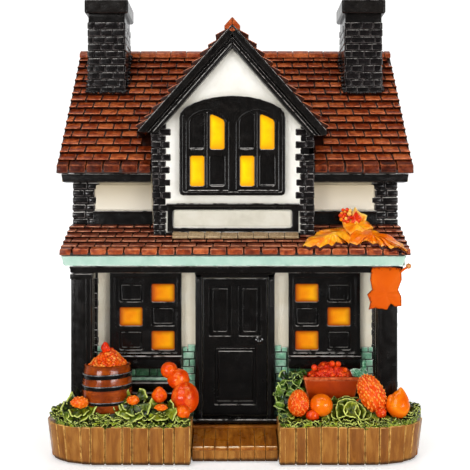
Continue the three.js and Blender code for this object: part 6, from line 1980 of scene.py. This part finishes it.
# ------------------------------------------------------------------ castings and fittings that keep their own shape
KEEP = {
    "house_shell": CREAM,
    "bottom_plate": PLASTIC, "battery_door": PLASTIC, "switch_body": PLASTIC, "switch_slider": PLASTIC_WHITE, "led_post": PLASTIC_WHITE,
    "battery_door_screw": STEEL, "plate_screw_1": STEEL, "plate_screw_2": STEEL, "contact_bridge": STEEL, "contact_positive": STEEL, "contact_negative": STEEL,
    "battery_1": CELL, "battery_2": CELL, "led_lower": LENS, "led_upper": LENS, "lead_wire_red": LEAD_RED, "lead_wire_black": LEAD_BLACK,
    "foot_pad_1": PAD, "foot_pad_2": PAD, "foot_pad_3": PAD, "foot_pad_4": PAD,
}
for n_, m_ in KEEP.items():
    ob = NODES[n_]
    if ob.material_slots:
        for sl in ob.material_slots:
            sl.material = m_
    else:
        ob.data.materials.append(m_)

# ------------------------------------------------------------------ floor, light and camera
scene = bpy.context.scene
S = Shape()
S.put([(-3000, -2600, 0), (3000, -2600, 0), (3000, 3400, 0), (-3000, 3400, 0)], [[0, 1, 2, 3]])
me = bpy.data.meshes.new("floor")
me.from_pydata([(x * MM, y * MM, z * MM) for x, y, z in S.v], [], S.f)
n = Nodes("floor_pale")
# the floor's paint emits light, more strongly further from the object: painted light that keeps the far floor white
n.link(n.mix(n.fit(n.noise(0.01, 2.0), 0.3, 0.7), (0.86, 0.86, 0.86, 1), (0.9, 0.9, 0.9, 1)), n.bsdf.inputs["Emission Color"])
far = n.new("ShaderNodeVectorMath")
far.operation = "LENGTH"
n.link(n.mm, far.inputs[0])
n.link(n.fit(far.outputs["Value"], 150.0, 650.0, 0.5, 1.2), n.bsdf.inputs["Emission Strength"])
me.materials.append(n.done(n.mix(n.fit(n.noise(0.01, 2.0), 0.3, 0.7), (0.86, 0.86, 0.86, 1), (0.9, 0.9, 0.9, 1)), 0.6))
floor = bpy.data.objects.new("floor", me)
scene.collection.objects.link(floor)
floor.visible_glossy = False

# plain white surround
n = Nodes("surround_white")
n.link(n.mix(n.fit(n.noise(0.01, 2.0), 0.3, 0.7), (1, 1, 1, 1), (0.995, 0.995, 0.995, 1)), n.bsdf.inputs["Emission Color"])
n.bsdf.inputs["Emission Strength"].default_value = 1.15
surround_mat = n.done(n.mix(0.5, (0, 0, 0, 1), (0.01, 0.01, 0.01, 1)), 1.0, spec=0.0)
me = bpy.data.meshes.new("surround")
ring = [(7.0 * math.cos(2 * math.pi * k / 48), 7.0 * math.sin(2 * math.pi * k / 48)) for k in range(48)]
me.from_pydata([(x, y, -2.0) for x, y in ring] + [(x, y, 6.0) for x, y in ring], [],
               [[k, (k + 1) % 48, 48 + (k + 1) % 48, 48 + k] for k in range(48)] + [[48 + k for k in range(48)]])
me.materials.append(surround_mat)
surround = bpy.data.objects.new("surround", me)
scene.collection.objects.link(surround)
surround.visible_diffuse = surround.visible_glossy = surround.visible_transmission = surround.visible_shadow = False

world = bpy.data.worlds.new("studio")
scene.world = world
world.use_nodes = True
wt = world.node_tree
wt.nodes.clear()
wo = wt.nodes.new("ShaderNodeOutputWorld")
bg = wt.nodes.new("ShaderNodeBackground")
tc = wt.nodes.new("ShaderNodeTexCoord")
sp = wt.nodes.new("ShaderNodeSeparateXYZ")
mr = wt.nodes.new("ShaderNodeMapRange")
mr.clamp = True
mr.inputs["From Min"].default_value = 0.0
mr.inputs["From Max"].default_value = 0.85
mr.inputs["To Min"].default_value = 0.07
mr.inputs["To Max"].default_value = 0.9
wt.links.new(tc.outputs["Generated"], sp.inputs[0])
wt.links.new(sp.outputs["Y"], mr.inputs["Value"])
wt.links.new(mr.outputs[0], bg.inputs["Strength"])
bg.inputs["Color"].default_value = (1.0, 1.0, 1.0, 1.0)
wt.links.new(bg.outputs[0], wo.inputs[0])


def lamp(name, place, target, size, power, color=(1, 1, 1)):
    li = bpy.data.lights.new(name, "AREA")
    li.shape = "RECTANGLE"
    li.size, li.size_y = size
    li.energy = power
    li.color = color
    ob = bpy.data.objects.new(name, li)
    ob.location = place
    ob.rotation_mode = "QUATERNION"
    ob.rotation_quaternion = (Vector(target) - Vector(place)).to_track_quat("-Z", "Y")
    scene.collection.objects.link(ob)
    return ob


lamp("key", (-0.55, -0.85, 0.8), (0, 0, 0.08), (0.7, 0.5), 3.9, (1.0, 0.99, 0.97))
lamp("fill", (0.86, -0.86, 0.24), (0, 0, 0.06), (0.6, 0.4), 4.0)
lamp("fill_low", (-0.66, -1.0, 0.13), (0, 0, 0.05), (0.5, 0.2), 4.0)
lamp("fill_low_right", (0.62, -1.05, 0.11), (0, 0, 0.05), (0.4, 0.16), 1.9)
lamp("strip", (0.0, -0.22, 0.85), (0, -0.02, 0.1), (1.3, 0.14), 2.3)
lamp("rear", (0.1, 0.8, 0.7), (0, 0, 0.1), (0.7, 0.5), 1.8)

cam_data = bpy.data.cameras.new("camera")
cam_data.lens = 59.63
cam_data.sensor_width = 36.0
cam_data.shift_y = -0.0106
cam = bpy.data.objects.new("camera", cam_data)
cam.location = (0.0, CAM_Y * MM, CAM_Z * MM)
cam.rotation_euler = (math.radians(90), 0, 0)
scene.collection.objects.link(cam)
scene.camera = cam
scene.view_settings.view_transform = "Standard"
scene.view_settings.look = "None"
